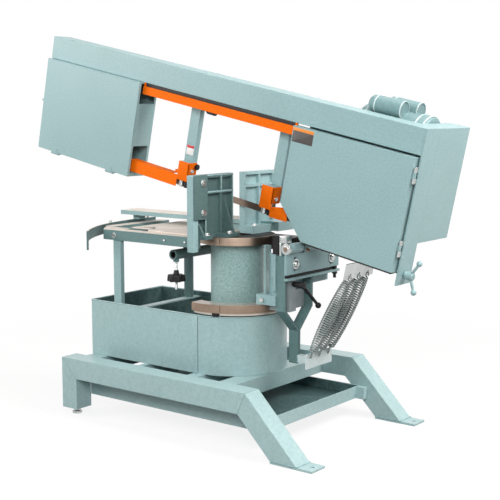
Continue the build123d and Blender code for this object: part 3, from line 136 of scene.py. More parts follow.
def steel(name, light, dark, grain, stretch, rough, metallic=1.0):
    """Bare or plated metal. Tool marks are noise stretched along the cut, or without a stretch they are rings
    round the upright axis, as turning leaves them. A slow stain, in patches some 70 mm wide, moves the colour
    between two tones."""
    stains_per_metre = 14.0
    material, tree, place = finish(name)
    if stretch is None:
        flat = add(tree, "ShaderNodeVectorMath", {"operation": "MULTIPLY"}, {0: place, 1: (1.0, 1.0, 0.0)})
        radius = add(tree, "ShaderNodeVectorMath", {"operation": "LENGTH"}, {0: flat.outputs["Vector"]})
        height = add(tree, "ShaderNodeSeparateXYZ", {}, {"Vector": place})
        marks = add(tree, "ShaderNodeCombineXYZ", {}, {
            "X": radius.outputs["Value"], "Y": height.outputs["Z"]})
    else:
        marks = add(tree, "ShaderNodeVectorMath", {"operation": "MULTIPLY"}, {0: place, 1: stretch})
    lines = add(tree, "ShaderNodeTexNoise", {}, {
        "Vector": marks.outputs["Vector"], "Scale": per_metre(grain), "Detail": 3.0}).outputs["Fac"]
    stain_and_shade = add(tree, "ShaderNodeTexNoise", {}, {
        "Vector": place, "Scale": stains_per_metre, "Detail": 5.0}).outputs["Fac"]
    tone = add(tree, "ShaderNodeMath", {"operation": "MULTIPLY_ADD"}, {0: lines, 1: 0.6, 2: stain_and_shade}).outputs[0]
    tone = add(tree, "ShaderNodeMapRange", {}, {
        "Value": tone, "From Min": 0.5, "From Max": 1.1}).outputs["Result"]
    colour = add(tree, "ShaderNodeValToRGB", {}, {"Fac": tone}, [(0.0, dark), (1.0, light)]).outputs["Color"]
    gloss = add(tree, "ShaderNodeMapRange", {}, {
        "Value": lines, "To Min": rough - 0.1, "To Max": rough + 0.1})
    bump = add(tree, "ShaderNodeBump", {}, {"Height": lines, "Strength": 0.15, "Distance": 0.0002})
    metal = add(tree, "ShaderNodeBsdfPrincipled", {}, {
        "Base Color": colour, "Roughness": gloss.outputs["Result"], "Metallic": metallic,
        "Normal": bump.outputs["Normal"]})
    add(tree, "ShaderNodeOutputMaterial", {}, {"Surface": metal.outputs[0]})
    return material


def moulded(name, light, dark, rough, shine=0.5):
    """Moulded plastic, rubber, vinyl or caked grease: one tone with a grain that breaks its shine. The real
    grain is finer, and is drawn about a millimetre wide so that it shows."""
    grains_per_metre = 900.0
    material, tree, place = finish(name)
    grain = add(tree, "ShaderNodeTexNoise", {}, {
        "Vector": place, "Scale": grains_per_metre, "Detail": 2.0}).outputs["Fac"]
    colour = add(tree, "ShaderNodeValToRGB", {}, {"Fac": grain}, [(0.3, dark), (0.7, light)]).outputs["Color"]
    bump = add(tree, "ShaderNodeBump", {}, {"Height": grain, "Strength": 0.12, "Distance": 0.0002})
    plastic = add(tree, "ShaderNodeBsdfPrincipled", {}, {
        "Base Color": colour, "Roughness": rough, "Normal": bump.outputs["Normal"],
        "Specular IOR Level": shine})
    add(tree, "ShaderNodeOutputMaterial", {}, {"Surface": plastic.outputs[0]})
    return material


# Enamels, with the width of the paint's cells in millimetres

# Hammered paint of plates and castings: a fine mottle that breaks the highlights
PAINT = enamel("grey_green_hammered_enamel", "#97B5B7", "#86A5A7",
               cell=3.2, depth=0.25, gloss=0.4)
# Paint on folded sheet and tube: lighter, even, with a soft wet shine
SHEET_PAINT = enamel("smooth_grey_green_sheet_enamel", "#A4C0C1", "#97B4B5",
                     cell=9.0, depth=0.05, gloss=0.33, coat=0.2)
# Thick paint on the column: coarse light and dark speckles
CAST_PAINT = enamel("coarse_hammered_enamel_on_the_column", "#9BBAB8", "#7A9796",
                    cell=3.8, depth=0.5, gloss=0.42, spread=0.28)
# Painted shade: the paint darkened and without its coat, for the yoke, stop tube, table rail and rear leg in
# shadow
SHADE_PAINT = enamel("painted_shade_grey_green_enamel", "#6A8787", "#597676",
                     cell=3.2, depth=0.2, gloss=0.5, coat=0.0)
# Dark blotched paint: coolant stain and painted shade inside the chip pan, painted shade on the drip tray
STAIN_AND_SHADE = enamel("coolant_stain_and_painted_shade_enamel", "#4E6868", "#384F50",
                 cell=14.0, depth=0.1, gloss=0.5, coat=0.0)
# Paint on the spun motor shell and cans: darker than the covers, with clear highlights
MOTOR_PAINT = enamel("smooth_grey_green_motor_enamel", "#7A989A", "#6C8A8C",
                     cell=6.0, depth=0.1, gloss=0.34)
# Painted highlight: nearly white paint on the motor's bands and on the spring anchor
HIGHLIGHT_PAINT = enamel("painted_highlight_pale_enamel", "#D6E4E4", "#C4D5D5",
                    cell=6.0, depth=0.1, gloss=0.4)
# Painted shade on the front fence and the arc: dark grey green and dull
FENCE_SHADE_PAINT = enamel("painted_shade_fence_enamel", "#556F6E", "#465E5D",
                     cell=3.2, depth=0.2, gloss=0.5, coat=0.0)
# Paint of the blade guards: a strong even orange, nearly matt
ORANGE = enamel("orange_guard_enamel", "#F4720E", "#EA6808",
                cell=5.0, depth=0.06, gloss=0.55, coat=0.0, shine=0.08)

# Metals, with the width of their tool marks in millimetres
EVEN = (1.0, 1.0, 1.0)

# Worn flat bar: patches of paint and steel, with hardly any metal shine
STRIP_STEEL = steel("worn_patchy_strip_steel", "#93A5A4", "#4F6161",
                    grain=7.0, stretch=(1.0, 1.0, 0.4), rough=0.55, metallic=0.1)
# Freshly turned rim: pale and bright, with fine rings
RIM_STEEL = steel("bright_turned_rim_steel", "#DAD2C8", "#B8AEA3",
                  grain=1.4, stretch=None, rough=0.34, metallic=0.8)
# Turned ring under a thin film of oxide: warm, with fine rings
RING_STEEL = steel("turned_ring_steel_lightly_oxidised", "#B9A391", "#8A7768",
                   grain=1.4, stretch=None, rough=0.36)
# The same under a thicker film: brown and duller
LOWER_RING_STEEL = steel("brown_turned_ring_steel", "#9E8A7A", "#776658",
                         grain=1.4, stretch=None, rough=0.42)
# Ground table: pale and warm, with long grinding marks, dulled by handling
TABLE_STEEL = steel("ground_table_steel", "#E0D7CD", "#BDB5AB",
                    grain=0.8, stretch=(0.06, 1.0, 1.0), rough=0.5, metallic=0.3)
# Milled block: mid grey, with cutter marks across it
BLOCK_STEEL = steel("milled_lock_block_steel", "#A4AEB0", "#848E90",
                    grain=2.5, stretch=(1.0, 0.2, 1.0), rough=0.45, metallic=0.3)
# Zinc plate on bolts, nuts and screws: bright and silvery
ZINC = steel("bright_zinc_plate", "#D3D6D4", "#AEB2B1",
             grain=1.5, stretch=EVEN, rough=0.28)
# Drawn wire under old oil: grey, with a soft shine
SPRING_WIRE = steel("drawn_spring_wire", "#A2ABA9", "#6C7674",
                    grain=0.7, stretch=EVEN, rough=0.42, metallic=0.3)
# Tempered band: brown, with marks along its length
BLADE_STEEL = steel("brown_band_saw_steel", "#8E7C70", "#6C5C52",
                    grain=0.6, stretch=(0.05, 1.0, 1.0), rough=0.38, metallic=0.9)
# Machined cast iron: dark grey and matt
IRON = steel("machined_grey_iron", "#7A7E7E", "#555A5B",
             grain=1.8, stretch=EVEN, rough=0.5, metallic=0.8)
# Rusty steel: orange brown, with hardly any shine
RUST = steel("rusty_grease_fitting", "#A5643C", "#6E4530",
             grain=2.0, stretch=EVEN, rough=0.6, metallic=0.5)

# Plastics, rubber, vinyl and grease: knobs shine a little, belts are matt, labels are flat and bare.
# The black rubber and grease also stand as painted shade in gaps, in the pipe bore and under the beam.
BLACK = moulded("black_moulded_plastic", "#1C1B1D", "#0F0E10", rough=0.4, shine=0.3)
RUBBER_AND_SHADE = moulded("black_rubber_and_painted_shade", "#2A2A2A", "#1B1B1B", rough=0.7)
GREASE_AND_SHADE = moulded("black_grease_and_painted_shade", "#2A2623", "#131110", rough=0.5, shine=0.3)
WHITE_LABEL = moulded("plain_white_vinyl_label", "#EDEDEA", "#E2E2DF", rough=0.45)
RED_LABEL = moulded("plain_red_vinyl_band", "#D2303A", "#C02832", rough=0.45)
AMBER_LABEL = moulded("plain_amber_vinyl_band", "#F0943C", "#E4842C", rough=0.45)
DARK_LABEL = moulded("plain_charcoal_vinyl_label", "#4A4644", "#3C3937", rough=0.45)

# Finish of a frame node: its own, or else its slot's
SLOT_FINISH = {
    "hammertone_paint": PAINT, "motor_paint": MOTOR_PAINT, "orange_paint": ORANGE,
    "machined_steel": TABLE_STEEL, "zinc_plate": ZINC, "black_plastic": BLACK, "blade_steel": BLADE_STEEL,
    "cast_iron": IRON, "belt_rubber": RUBBER_AND_SHADE}
# The dulled and fence paints here are painted shade; the spring anchor's pale paint is a painted highlight
NODE_FINISH = {
    "upper_ring": RING_STEEL, "lower_ring": LOWER_RING_STEEL, "hinge_plate": PAINT, "vise_base": PAINT,
    "column": CAST_PAINT, "chip_pan": SHEET_PAINT, "drip_tray": SHEET_PAINT, "base_frame": SHEET_PAINT,
    "table_rail": SHADE_PAINT, "swivel_yoke": SHADE_PAINT, "stop_tube": SHADE_PAINT,
    "lock_block": BLOCK_STEEL, "spring_anchor": HIGHLIGHT_PAINT, "fence_front": FENCE_SHADE_PAINT,
    "table_arc": FENCE_SHADE_PAINT}


# Surface tools
def unit(vector):
    """Vectors of length one."""
    return vector / np.linalg.norm(vector, axis=-1, keepdims=True)


def heading(degrees):
    """Level direction at an angle from the right towards the back."""
    angle = np.radians(degrees)
    return np.array([np.cos(angle), np.sin(angle), 0.0])


def at(u, y, v):
    """Points of the saw head in the stand's frame: hinge + u along the beam + y to the back + v across it."""
    u, y, v = (np.asarray(value, float)[..., None] for value in (u, y, v))
    return HINGE + u * ALONG + y * BACK + v * ACROSS


def eased(points, reach, steps=5):
    """Open line with each inner corner replaced by a parabola that meets its sides at a reach."""
    points = np.asarray(points, float)
    before, corner, after = points[:-2], points[1:-1], points[2:]
    steps = np.linspace(0.0, 1.0, steps)[None, :, None]
    sides = []
    for other in (before, after):
        length = np.linalg.norm(other - corner, axis=1, keepdims=True)
        sides.append((corner + (other - corner) / length * np.minimum(reach, 0.48 * length))[:, None])
    bend = (1 - steps) ** 2 * sides[0] + 2 * steps * (1 - steps) * corner[:, None] + steps ** 2 * sides[1]
    return np.concatenate([points[:1], bend.reshape(-1, points.shape[1]), points[-1:]])


def skin(grid, wrap_rows=False, wrap_columns=True):
    """Points and quads of a grid: each point joins its neighbours in the next row and column."""
    index = np.arange(grid.shape[0] * grid.shape[1]).reshape(grid.shape[:2])
    if wrap_rows:
        index = np.concatenate([index, index[:1]])
    if wrap_columns:
        index = np.concatenate([index, index[:, :1]], axis=1)
    quads = np.stack([index[:-1, :-1], index[:-1, 1:], index[1:, 1:], index[1:, :-1]], axis=-1)
    return grid.reshape(-1, 3), quads.reshape(-1, 4)


def turned(start, axis, profile, sides, shape=None):
    """Surface of revolution. A profile row (s, r) is a ring of radius r at s along the axis. A shape may
    change the radius as a function of the radius, the angle and s, for flats, lobes and threads."""
    profile = np.asarray(profile, float)
    axis = unit(np.asarray(axis, float))
    first = unit(np.cross(axis, RIGHT if abs(axis[0]) < 0.7 else UP))
    angle = np.linspace(0.0, 2 * np.pi, sides, endpoint=False)[None]
    ring = np.cos(angle)[..., None] * first + np.sin(angle)[..., None] * np.cross(axis, first)
    radius = np.repeat(profile[:, 1:], sides, axis=1)
    if shape is not None:
        radius = shape(radius, angle, profile[:, :1])
    return skin(np.asarray(start, float) + profile[:, :1, None] * axis + radius[..., None] * ring)


def lobed(count, depth, start=-1.0):
    """Shape of a grip: past a start, the radius dips between lobes by twice a depth, a share of itself."""
    def shape(radii, angle, s):
        return np.where(s > start, radii * (1 - depth + depth * np.cos(count * angle)), radii)
    return shape


def ball(centre, radius):
    """Sphere as a turned half circle."""
    angle = np.linspace(0.0, np.pi, 17)
    return turned(centre, UP, np.stack([-radius * np.cos(angle), radius * np.sin(angle)], axis=1), 28)


def rod(start, axis, radius, length, sides):
    """Plain round rod with flat ends."""
    return turned(start, axis, [(0, 0), (0, radius), (length, radius), (length, 0)], sides)


def hoop(start, axis, s, width, inner, outer, sides):
    """Flat band round an axis, from s along it, between two radii."""
    profile = [(s, inner), (s, outer), (s + width, outer), (s + width, inner), (s, inner)]
    return turned(start, axis, profile, sides)


def disc(start, axis, radius, height, ease=0.8):
    """Washer, collar or can end: a turned disc with eased rims."""
    return turned(start, axis, eased([(0, 0), (0, radius), (height, radius), (height, 0)], ease, 4), 48)


def hex_head(start, axis, radius, height):
    """Hexagon head or nut: a turned blank with a crowned rim, held in by six flats."""
    blank = [(0, 0), (0, radius), (height * 0.6, radius), (height * 0.85, radius * 0.96),
             (height, radius * 0.87), (height, 0)]

    def flats(radii, angle, _):
        return np.minimum(radii, radius * np.cos(np.pi / 6) / np.cos(angle % (np.pi / 3) - np.pi / 6))
    return turned(start, axis, blank, 48, flats)


def bolt(spot, axis, washer, sheet, head, height):
    """Hexagon head on a washer: two radii, the washer's thickness and the head's height."""
    return [disc(spot, axis, washer, sheet), hex_head(np.array(spot) + sheet * axis, axis, head, height)]


def thread(start, axis, radius, length, pitch):
    """Threaded rod: the radius falls and rises by 22% of the pitch, one pitch along for each turn."""
    rows = np.linspace(0.0, length, int(length / pitch * 6) + 2)
    profile = np.stack([rows, np.full_like(rows, radius)], axis=1)
    profile = np.concatenate([[(0.0, 0.0)], profile, [(length, 0.0)]])

    def helix(radii, angle, s):
        depth = np.abs((s / pitch - angle / (2 * np.pi)) % 1.0 - 0.5) * 2
        return np.where(radii > 0, radii - 0.22 * pitch * depth, 0.0)
    return turned(start, axis, profile, 24, helix)


def tube(path, radius, lift, sides=12):
    """Round bar along a path: rings square to it, of one radius or one for each point, with closed ends."""
    path = np.asarray(path, float)
    radius = np.broadcast_to(radius, len(path)).astype(float)
    ahead = unit(np.gradient(path, axis=0))
    side = unit(np.cross(ahead, lift))
    rise = np.cross(side, ahead)
    keep = np.concatenate([[0], np.arange(len(path)), [-1]])
    radius = np.concatenate([[0.0], radius, [0.0]])
    angle = np.linspace(0.0, 2 * np.pi, sides, endpoint=False)
    ring = np.cos(angle)[None, :, None] * side[keep, None] + np.sin(angle)[None, :, None] * rise[keep, None]
    return skin(path[keep, None] + radius[:, None, None] * ring)


def arm(start, reach, near, far, lift, steps):
    """Tapered bar along a straight reach, with a radius that changes evenly from near to far."""
    return tube(start + np.linspace(0, 1, steps)[:, None] * reach, np.linspace(near, far, steps), lift)


def bead(path, radius, lift=UP):
    """Weld bead: a bar whose radius swells and dips every four millimetres like a row of frozen puddles."""
    path = np.asarray(path, float)
    step = np.concatenate([[0.0], np.cumsum(np.linalg.norm(np.diff(path, axis=0), axis=1))])
    even = np.linspace(0.0, step[-1], int(step[-1] / 0.8) + 2)
    fine = np.stack([np.interp(even, step, path[:, k]) for k in range(3)], axis=1)
    return tube(fine, radius * (0.82 + 0.18 * np.abs(np.cos(np.pi * even / 4.0))), lift, 10)


def swept(profile, angle, centre=(0.0, 0.0)):
    """Bar bent round an upright axis: each profile row (radius, height) is carried through the angles."""
    profile = np.asarray(profile, float)
    x = centre[0] + profile[:, :1] * np.cos(angle)
    y = centre[1] + profile[:, :1] * np.sin(angle)
    z = np.broadcast_to(profile[:, 1:], x.shape)
    return skin(np.stack([x, y, z], axis=2), wrap_rows=True, wrap_columns=False)


def oblong(a0, a1, b0, b1):
    """Outline of a rectangle between two corners."""
    return [(a0, b0), (a1, b0), (a1, b1), (a0, b1)]


def slab(outline, origin, first, second, thickness, corner=2.0, edge=0.6):
    """Plate of even thickness: an outline in two directions with rounded corners. Rows run from the middle of
    one face, over both eased edges, to the middle of the other."""
    loop = np.asarray(outline, float)
    loop = eased(np.concatenate([loop[-1:], loop, loop[:1]]), corner)[1:-1]
    ahead = unit(np.roll(loop, -1, 0) - np.roll(loop, 1, 0))
    turn = np.sign(np.sum(loop[:, 0] * np.roll(loop[:, 1], -1) - loop[:, 1] * np.roll(loop[:, 0], -1)))
    inward = turn * np.stack([-ahead[:, 1], ahead[:, 0]], axis=1)
    middle = np.broadcast_to(loop.mean(0), loop.shape)
    rows = [(0, middle), (0, loop + inward * edge), (0.3 * edge, loop + inward * 0.3 * edge), (edge, loop),
            (thickness - edge, loop), (thickness - 0.3 * edge, loop + inward * 0.3 * edge),
            (thickness, loop + inward * edge), (thickness, middle)]
    normal = np.cross(first, second)
    grid = [origin + row[:, :1] * first + row[:, 1:] * second + height * normal for height, row in rows]
    return skin(np.stack(grid))


def block(u0, u1, y0, y1, v0, v1, corner=2.0, edge=0.6):
    """Plate or block of the saw head between two corners, with rounded edges, cut from the front."""
    return slab(oblong(u0, u1, v0, v1), at(0, y1, 0), ALONG, ACROSS, y1 - y0, corner, edge)


BODY_OF = {node: body for body, nodes in frame["record"]["behaviour"]["bodies"].items() for node in nodes}
SLOT_OF = {part["node"]: part["material_slot"] for part in frame["record"]["subparts"]}
REPLACED = set()


def piece(name, skins, material, body, slot, *nodes, angle=35.0, hold=None):
    """One object from skins in millimetres: doubles merged, faces turned outwards, smooth up to an angle.
    It rides on a body or, given a hold, is left unattached in the stand's frame, and it stands for the frame
    nodes it names."""
    start = np.cumsum([0] + [len(points) for points, _ in skins[:-1]])
    points = np.concatenate([points for points, _ in skins])
    faces = np.concatenate([quads + first for (_, quads), first in zip(skins, start)])
    mesh = bpy.data.meshes.new(name)
    mesh.from_pydata(points * MILLIMETRE, [], faces.tolist())
    work = bmesh.new()
    work.from_mesh(mesh)
    bmesh.ops.remove_doubles(work, verts=work.verts, dist=2e-6)
    bmesh.ops.dissolve_degenerate(work, edges=work.edges, dist=1e-7)
    bmesh.ops.recalc_face_normals(work, faces=work.faces)
    work.to_mesh(mesh)
    work.free()
    mesh.polygons.foreach_set("use_smooth", np.ones(len(mesh.polygons), bool))
    mesh.set_sharp_from_angle(angle=np.radians(angle))
    mesh.materials.append(material)
    made = bpy.data.objects.new(name, mesh)
    bpy.context.scene.collection.objects.link(made)
    if hold is None:
        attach(made, body)
    else:
        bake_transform(made)
    if nodes:
        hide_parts(*nodes)
        REPLACED.update(nodes)


def softened(node, width, material):
    """Copy of a frame node: doubles merged, flat triangles joined to faces, edges rounded by a bevel."""
    source = frame["nodes"][node].data
    points = np.empty(len(source.vertices) * 3)
    source.vertices.foreach_get("co", points)
    source.calc_loop_triangles()
    corners = np.empty(len(source.loop_triangles) * 3, np.int32)
    source.loop_triangles.foreach_get("vertices", corners)
    mesh = bpy.data.meshes.new(node + "_finished")
    mesh.from_pydata(points.reshape(-1, 3), [], corners.reshape(-1, 3).tolist())
    work = bmesh.new()
    work.from_mesh(mesh)
    bmesh.ops.remove_doubles(work, verts=work.verts, dist=2e-5)
    bmesh.ops.dissolve_degenerate(work, edges=work.edges, dist=1e-6)
    bmesh.ops.dissolve_limit(work, angle_limit=0.012, verts=work.verts, edges=work.edges)
    work.to_mesh(mesh)
    work.free()
    mesh.polygons.foreach_set("use_smooth", np.ones(len(mesh.polygons), bool))
    mesh.materials.append(material)
    made = bpy.data.objects.new(mesh.name, mesh)
    bpy.context.scene.collection.objects.link(made)
    bevel = made.modifiers.new("rounded_edges", "BEVEL")
    bevel.width = width * MILLIMETRE
    bevel.segments = 2
    bevel.limit_method = "ANGLE"
    bevel.angle_limit = np.radians(30)
    bevel.harden_normals = True
    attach(made, BODY_OF[node])
    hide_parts(node)


# Levelling feet, one under each upright leg: pad, threaded stem and nut
FOOT_X, FOOT_Y = -521.9, 331.9
pad = eased([(0, 0), (0, 18.5), (9, 18.5), (9, 10), (11, 8), (11, 0)], 1.0)
feet = []
for y in (-FOOT_Y, FOOT_Y):
    foot = np.array([FOOT_X, y, 0.0])
    feet.append(turned(foot, UP, pad, 40))
    feet.append(thread(foot + 8 * UP, UP, radius=8.0, length=57, pitch=2.0))
    feet.append(hex_head(foot + 14 * UP, UP, radius=15.0, height=12.0))
piece("levelling_feet_threaded", feet, ZINC, "stand", "zinc_plate", "levelling_feet")

# Bolts of the table rail, fence and arc on washers, round screw heads and socket screws
ARC_CENTRE = np.array([65.0, 127.0, 705.0])
ARC_RADIUS = 688.0
button = eased([(0, 0), (0, 5), (4, 4), (5, 2), (5, 0)], 1.0)
socket = eased([(0, 0), (0, 6), (10, 6), (10, 3), (6, 3), (6, 0)], 1.0, 4)
bolts = bolt((-440, -201, 678), -BACK, washer=10.5, sheet=1.6, head=8.5, height=5.4)
bolts += [turned((x, -201, 678), -BACK, button, 28) for x in (-182, -82)]
for z in (898, 792):
    bolts += bolt((30, -228, z), RIGHT, washer=13.0, sheet=2.0, head=9.5, height=6.0)
for spot in ((38, -220, 714), (46, -104, 712), (44, 45, 726)):
    bolts += bolt(spot, UP, washer=13.0, sheet=2.0, head=10.0, height=6.0)
bolts += [turned(ARC_CENTRE + ARC_RADIUS * heading(degrees), UP, socket, 28) for degrees in (196, 175.5)]
piece("stand_bolts_on_washers", bolts, ZINC, "stand", "zinc_plate", "stand_bolts")

# Star knob with its threaded rod under the stop tube
stop = np.array([-200.0, -116.0, 0.0])
grip = eased([(0, 0), (0, 33), (26, 36), (26, 0)], 5.0)
boss = eased([(0, 0), (0, 9), (20, 12), (20, 0)], 2)
piece("star_knob_moulded",
      [turned(stop + 540 * UP, -UP, grip, 72, lobed(6, 0.13)), turned(stop + 556 * UP, -UP, boss, 32)],
      BLACK, "stop_screw", "black_plastic", "stop_knob")
piece("stop_screw_thread", [thread(stop + 601 * UP, -UP, radius=5.0, length=117, pitch=1.5)],
      ZINC, "stop_screw", "zinc_plate")

# Vise lever: hub, cranked arm and ball
lever = np.array([-250.0, 120.0, 743.1])
hub = eased([(0, 0), (0, 8), (14, 8), (14, 14), (34, 12.5), (36, 8), (36, 0)], 1.5)
piece("vise_lever_moulded",
      [turned(lever + 1 * UP, UP, hub, 36), arm(lever + 28 * UP, 85 * unit(BACK + 0.15 * UP), 6, 4.6, UP, 12),
       ball(lever + np.array([0, 85, 41]), 10.0)],
      BLACK, "vise_clamp", "black_plastic", "vise_lever")

# Hinge shaft with collars, the fasteners and jacking screw below it, and a grease fitting on the barrel
shaft = eased([(0, 0), (0, 10), (2, 11), (2, 20), (11, 20), (11, 11), (328, 11), (328, 20), (337, 20),
               (337, 11), (339, 10), (339, 0)], 1.2, 4)
piece("hinge_shaft_turned", [turned(HINGE - 96 * BACK, BACK, shaft, 48)],
      ZINC, "swivel", "zinc_plate", "hinge_shaft")
dome = eased([(0, 0), (0, 13), (5, 13), (9, 9), (11, 4), (11, 0)], 2.5)
fasteners = []
for y in (-38, 190):
    fasteners.append(disc((292, y, 614), RIGHT, radius=19.0, height=3.0))
    fasteners.append(turned((295, y, 614), RIGHT, dome, 40))
    fasteners.append(rod((232, y, 614), RIGHT, radius=8, length=60, sides=28))
fasteners.append(hex_head((189, -95, 482), -BACK, radius=9.0, height=7.0))
piece("hinge_fasteners_domed", fasteners, ZINC, "swivel", "zinc_plate", "hinge_fasteners")
jack = [thread((289.5, 217, 534), UP, radius=6.0, length=43.8, pitch=1.75),
        hex_head((289.5, 217, 549), UP, radius=10.0, height=9.0)]
piece("jacking_screw_blackened", jack, BLACK, "swivel", "zinc_plate")
fitting = eased([(0, 0), (0, 5), (5, 5), (5, 3), (9, 3), (11, 4), (14, 2.5), (15, 0)], 0.6, 4)
piece("hinge_grease_fitting", [turned((305.5, 12, 664), (0.93, 0.0, -0.37), fitting, 24)],
      RUST, "head", "zinc_plate")

# Swivel lock lever: stud, tapered hub, arm and ball
pivot = np.array([328.0, -48.0, 543.0])
reach = np.array([8.0, 90.0, -84.0])
hub = eased([(0, 0), (0, 11), (46, 13), (46, 0)], 3.0)
piece("lock_lever_moulded",
      [rod((258, -48, 543), RIGHT, radius=8, length=36, sides=28), turned((292, -48, 543), RIGHT, hub, 40),
       arm(pivot, reach, 7.5, 5.5, RIGHT, 14), ball(pivot + reach, 11.0)],
      BLACK, "swivel_lock", "black_plastic", "lock_lever")

# Spring handle: threaded shaft, hub and two balls on arms
spot = at(436, 15, 22)
hub = eased([(0, 0), (0, 12), (8, 14), (30, 14), (34, 11), (34, 0)], 2.5)
handle = [thread(at(225, 15, 22), ALONG, radius=6.0, length=187, pitch=2.0),
          rod(at(411, 15, 22), ALONG, radius=6, length=6, sides=24), turned(at(416, 15, 22), ALONG, hub, 40)]
for sign in (-1, 1):
    direction = unit(sign * ACROSS + 0.5 * ALONG)
    handle.append(arm(spot, 54 * direction, 5.5, 4.5, BACK, 8))
    handle.append(ball(spot + 56 * direction, 10.0))
piece("spring_handle_turned", handle, PAINT, BODY_OF["spring_handle"], "hammertone_paint", "spring_handle")

# Clamp knob of the sliding guide arm
grip = eased([(0, 0), (0, 9), (7, 9), (7, 13), (44, 14), (47, 10), (47, 0)], 2.5)
piece("guide_knob_moulded",
      [turned(at(-546, 30, 377), ALONG, grip, 60, lobed(10, 0.04, start=8)),
       rod(at(-584, 30, 377), ALONG, radius=5, length=40, sides=24)],
      BLACK, BODY_OF["guide_knob"], "black_plastic", "guide_knob")

# Extension springs from the swivel to the head: a coil that narrows to its ends and two bent hooks.
# The coil is a helix round the line between its eyes; its radius swells as a half sine to the power 0.6.
TURNS, TURN_POINTS = 33, 24
COIL_WIRE, HOOK_WIRE = 2.8, 2.3
END_RADIUS, SWELL = 9.5, 10.0
LOWER_LEAD, UPPER_LEAD = 26.0, 20.0


def hook(eye, side, rise, lead, end, step):
    """Bent end of a spring: a U through its eye, then along the lead to the end of the coil."""
    bends = [eye - 7 * side + 12 * rise, eye - 7 * side, eye + 7 * side, eye + 7 * side + 14 * rise,
             eye + 0.8 * lead, end + step, end]
    return tube(eased(bends, 6.0, 6), HOOK_WIRE, np.array([0.05, 1.0, 0.02]), 10)


for name, y in (("spring_front", -56.0), ("spring_middle", 0.0), ("spring_rear", 56.0)):
    low = np.array([368.0, y, 290.0])
    high = at(250, y, -25)
    axis = unit(high - low)
    third = np.cross(axis, BACK)
    wound = np.linalg.norm(high - low) - LOWER_LEAD - UPPER_LEAD
    run = np.linspace(0.0, 1.0, TURNS * TURN_POINTS + 1)
    turn = 2 * np.pi * TURNS * run
    girth = END_RADIUS + SWELL * np.clip(np.sin(np.pi * run), 0.0, 1.0) ** 0.6
    coil = low + (LOWER_LEAD + wound * run)[:, None] * axis
    coil = coil + girth[:, None] * (np.cos(turn)[:, None] * BACK + np.sin(turn)[:, None] * third)
    piece(name + "_wound",
          [tube(coil, COIL_WIRE, axis, 8), hook(low, RIGHT, UP, LOWER_LEAD * axis, coil[0], -2 * axis),
           hook(high, -ALONG, -ACROSS, -UPPER_LEAD * axis, coil[-1], 2 * axis)],
          SPRING_WIRE, "swivel", "zinc_plate", name, hold=("head", low, high))

# Blade: a band round both wheels, turned on edge between the guides, with raked teeth.
# Along its lap s come the lower run, half a turn on the idler, the upper run, half a turn on the drive wheel.
# The lower run twists by a quarter turn. Each tooth has three points: its tip, its gullet and its back.
TOOTH_PITCH = 4.23
HALF_WIDTH, TOOTH_ROOT = 12.7, 8
HALF_THICK, TOOTH_HALF_THICK = 0.45, 0.4
IDLER_U, DRIVE_U, WHEEL_V, WHEEL_RADIUS = -1103.0, 150.0, 238.45, 152.45
straight = DRIVE_U - IDLER_U
half_turn = np.pi * WHEEL_RADIUS
lap = 2 * straight + 2 * half_turn
teeth = int(lap / TOOTH_PITCH)
s = (np.arange(teeth)[:, None] + np.array([0.0, 0.12, 0.55])).ravel() * lap / teeth
gullet = np.tile([0.0, 2.0, 1.5], teeth)
on_lower = s < straight
on_idler = (s >= straight) & (s < straight + half_turn)
on_upper = (s >= straight + half_turn) & (s < 2 * straight + half_turn)
on_drive = s >= 2 * straight + half_turn
idler_turn = (s - straight) / WHEEL_RADIUS
drive_turn = np.pi + (s - 2 * straight - half_turn) / WHEEL_RADIUS
turn = np.select([on_idler, on_upper, on_drive], [idler_turn, np.pi, drive_turn], 0.0)
swing = WHEEL_RADIUS * np.sin(turn)
u = np.select([on_lower, on_idler, on_drive], [DRIVE_U - s, IDLER_U - swing, DRIVE_U - swing],
              IDLER_U + (s - straight - half_turn))
v = WHEEL_V - WHEEL_RADIUS * np.cos(turn)
twist = np.interp(u, (-1030, -761, -120, 80), (0, np.pi / 2, np.pi / 2, 0)) * on_lower
ahead = -np.cos(turn)[:, None] * ALONG + np.sin(turn)[:, None] * ACROSS
width = -np.cos(twist)[:, None] * BACK - np.sin(twist)[:, None] * ACROSS
face = np.cross(ahead, width)
middle = at(u, np.zeros_like(u), v)
back_edge = middle - HALF_WIDTH * width
root = middle + TOOTH_ROOT * width
tip = middle + (HALF_WIDTH - gullet)[:, None] * width
band = np.stack([back_edge - HALF_THICK * face, back_edge + HALF_THICK * face, root + HALF_THICK * face,
                 tip + TOOTH_HALF_THICK * face, tip - TOOTH_HALF_THICK * face,
                 root - HALF_THICK * face], axis=1)
piece("blade_toothed", [skin(band, wrap_rows=True)], BLADE_STEEL, "head", "blade_steel", "blade", angle=25.0)

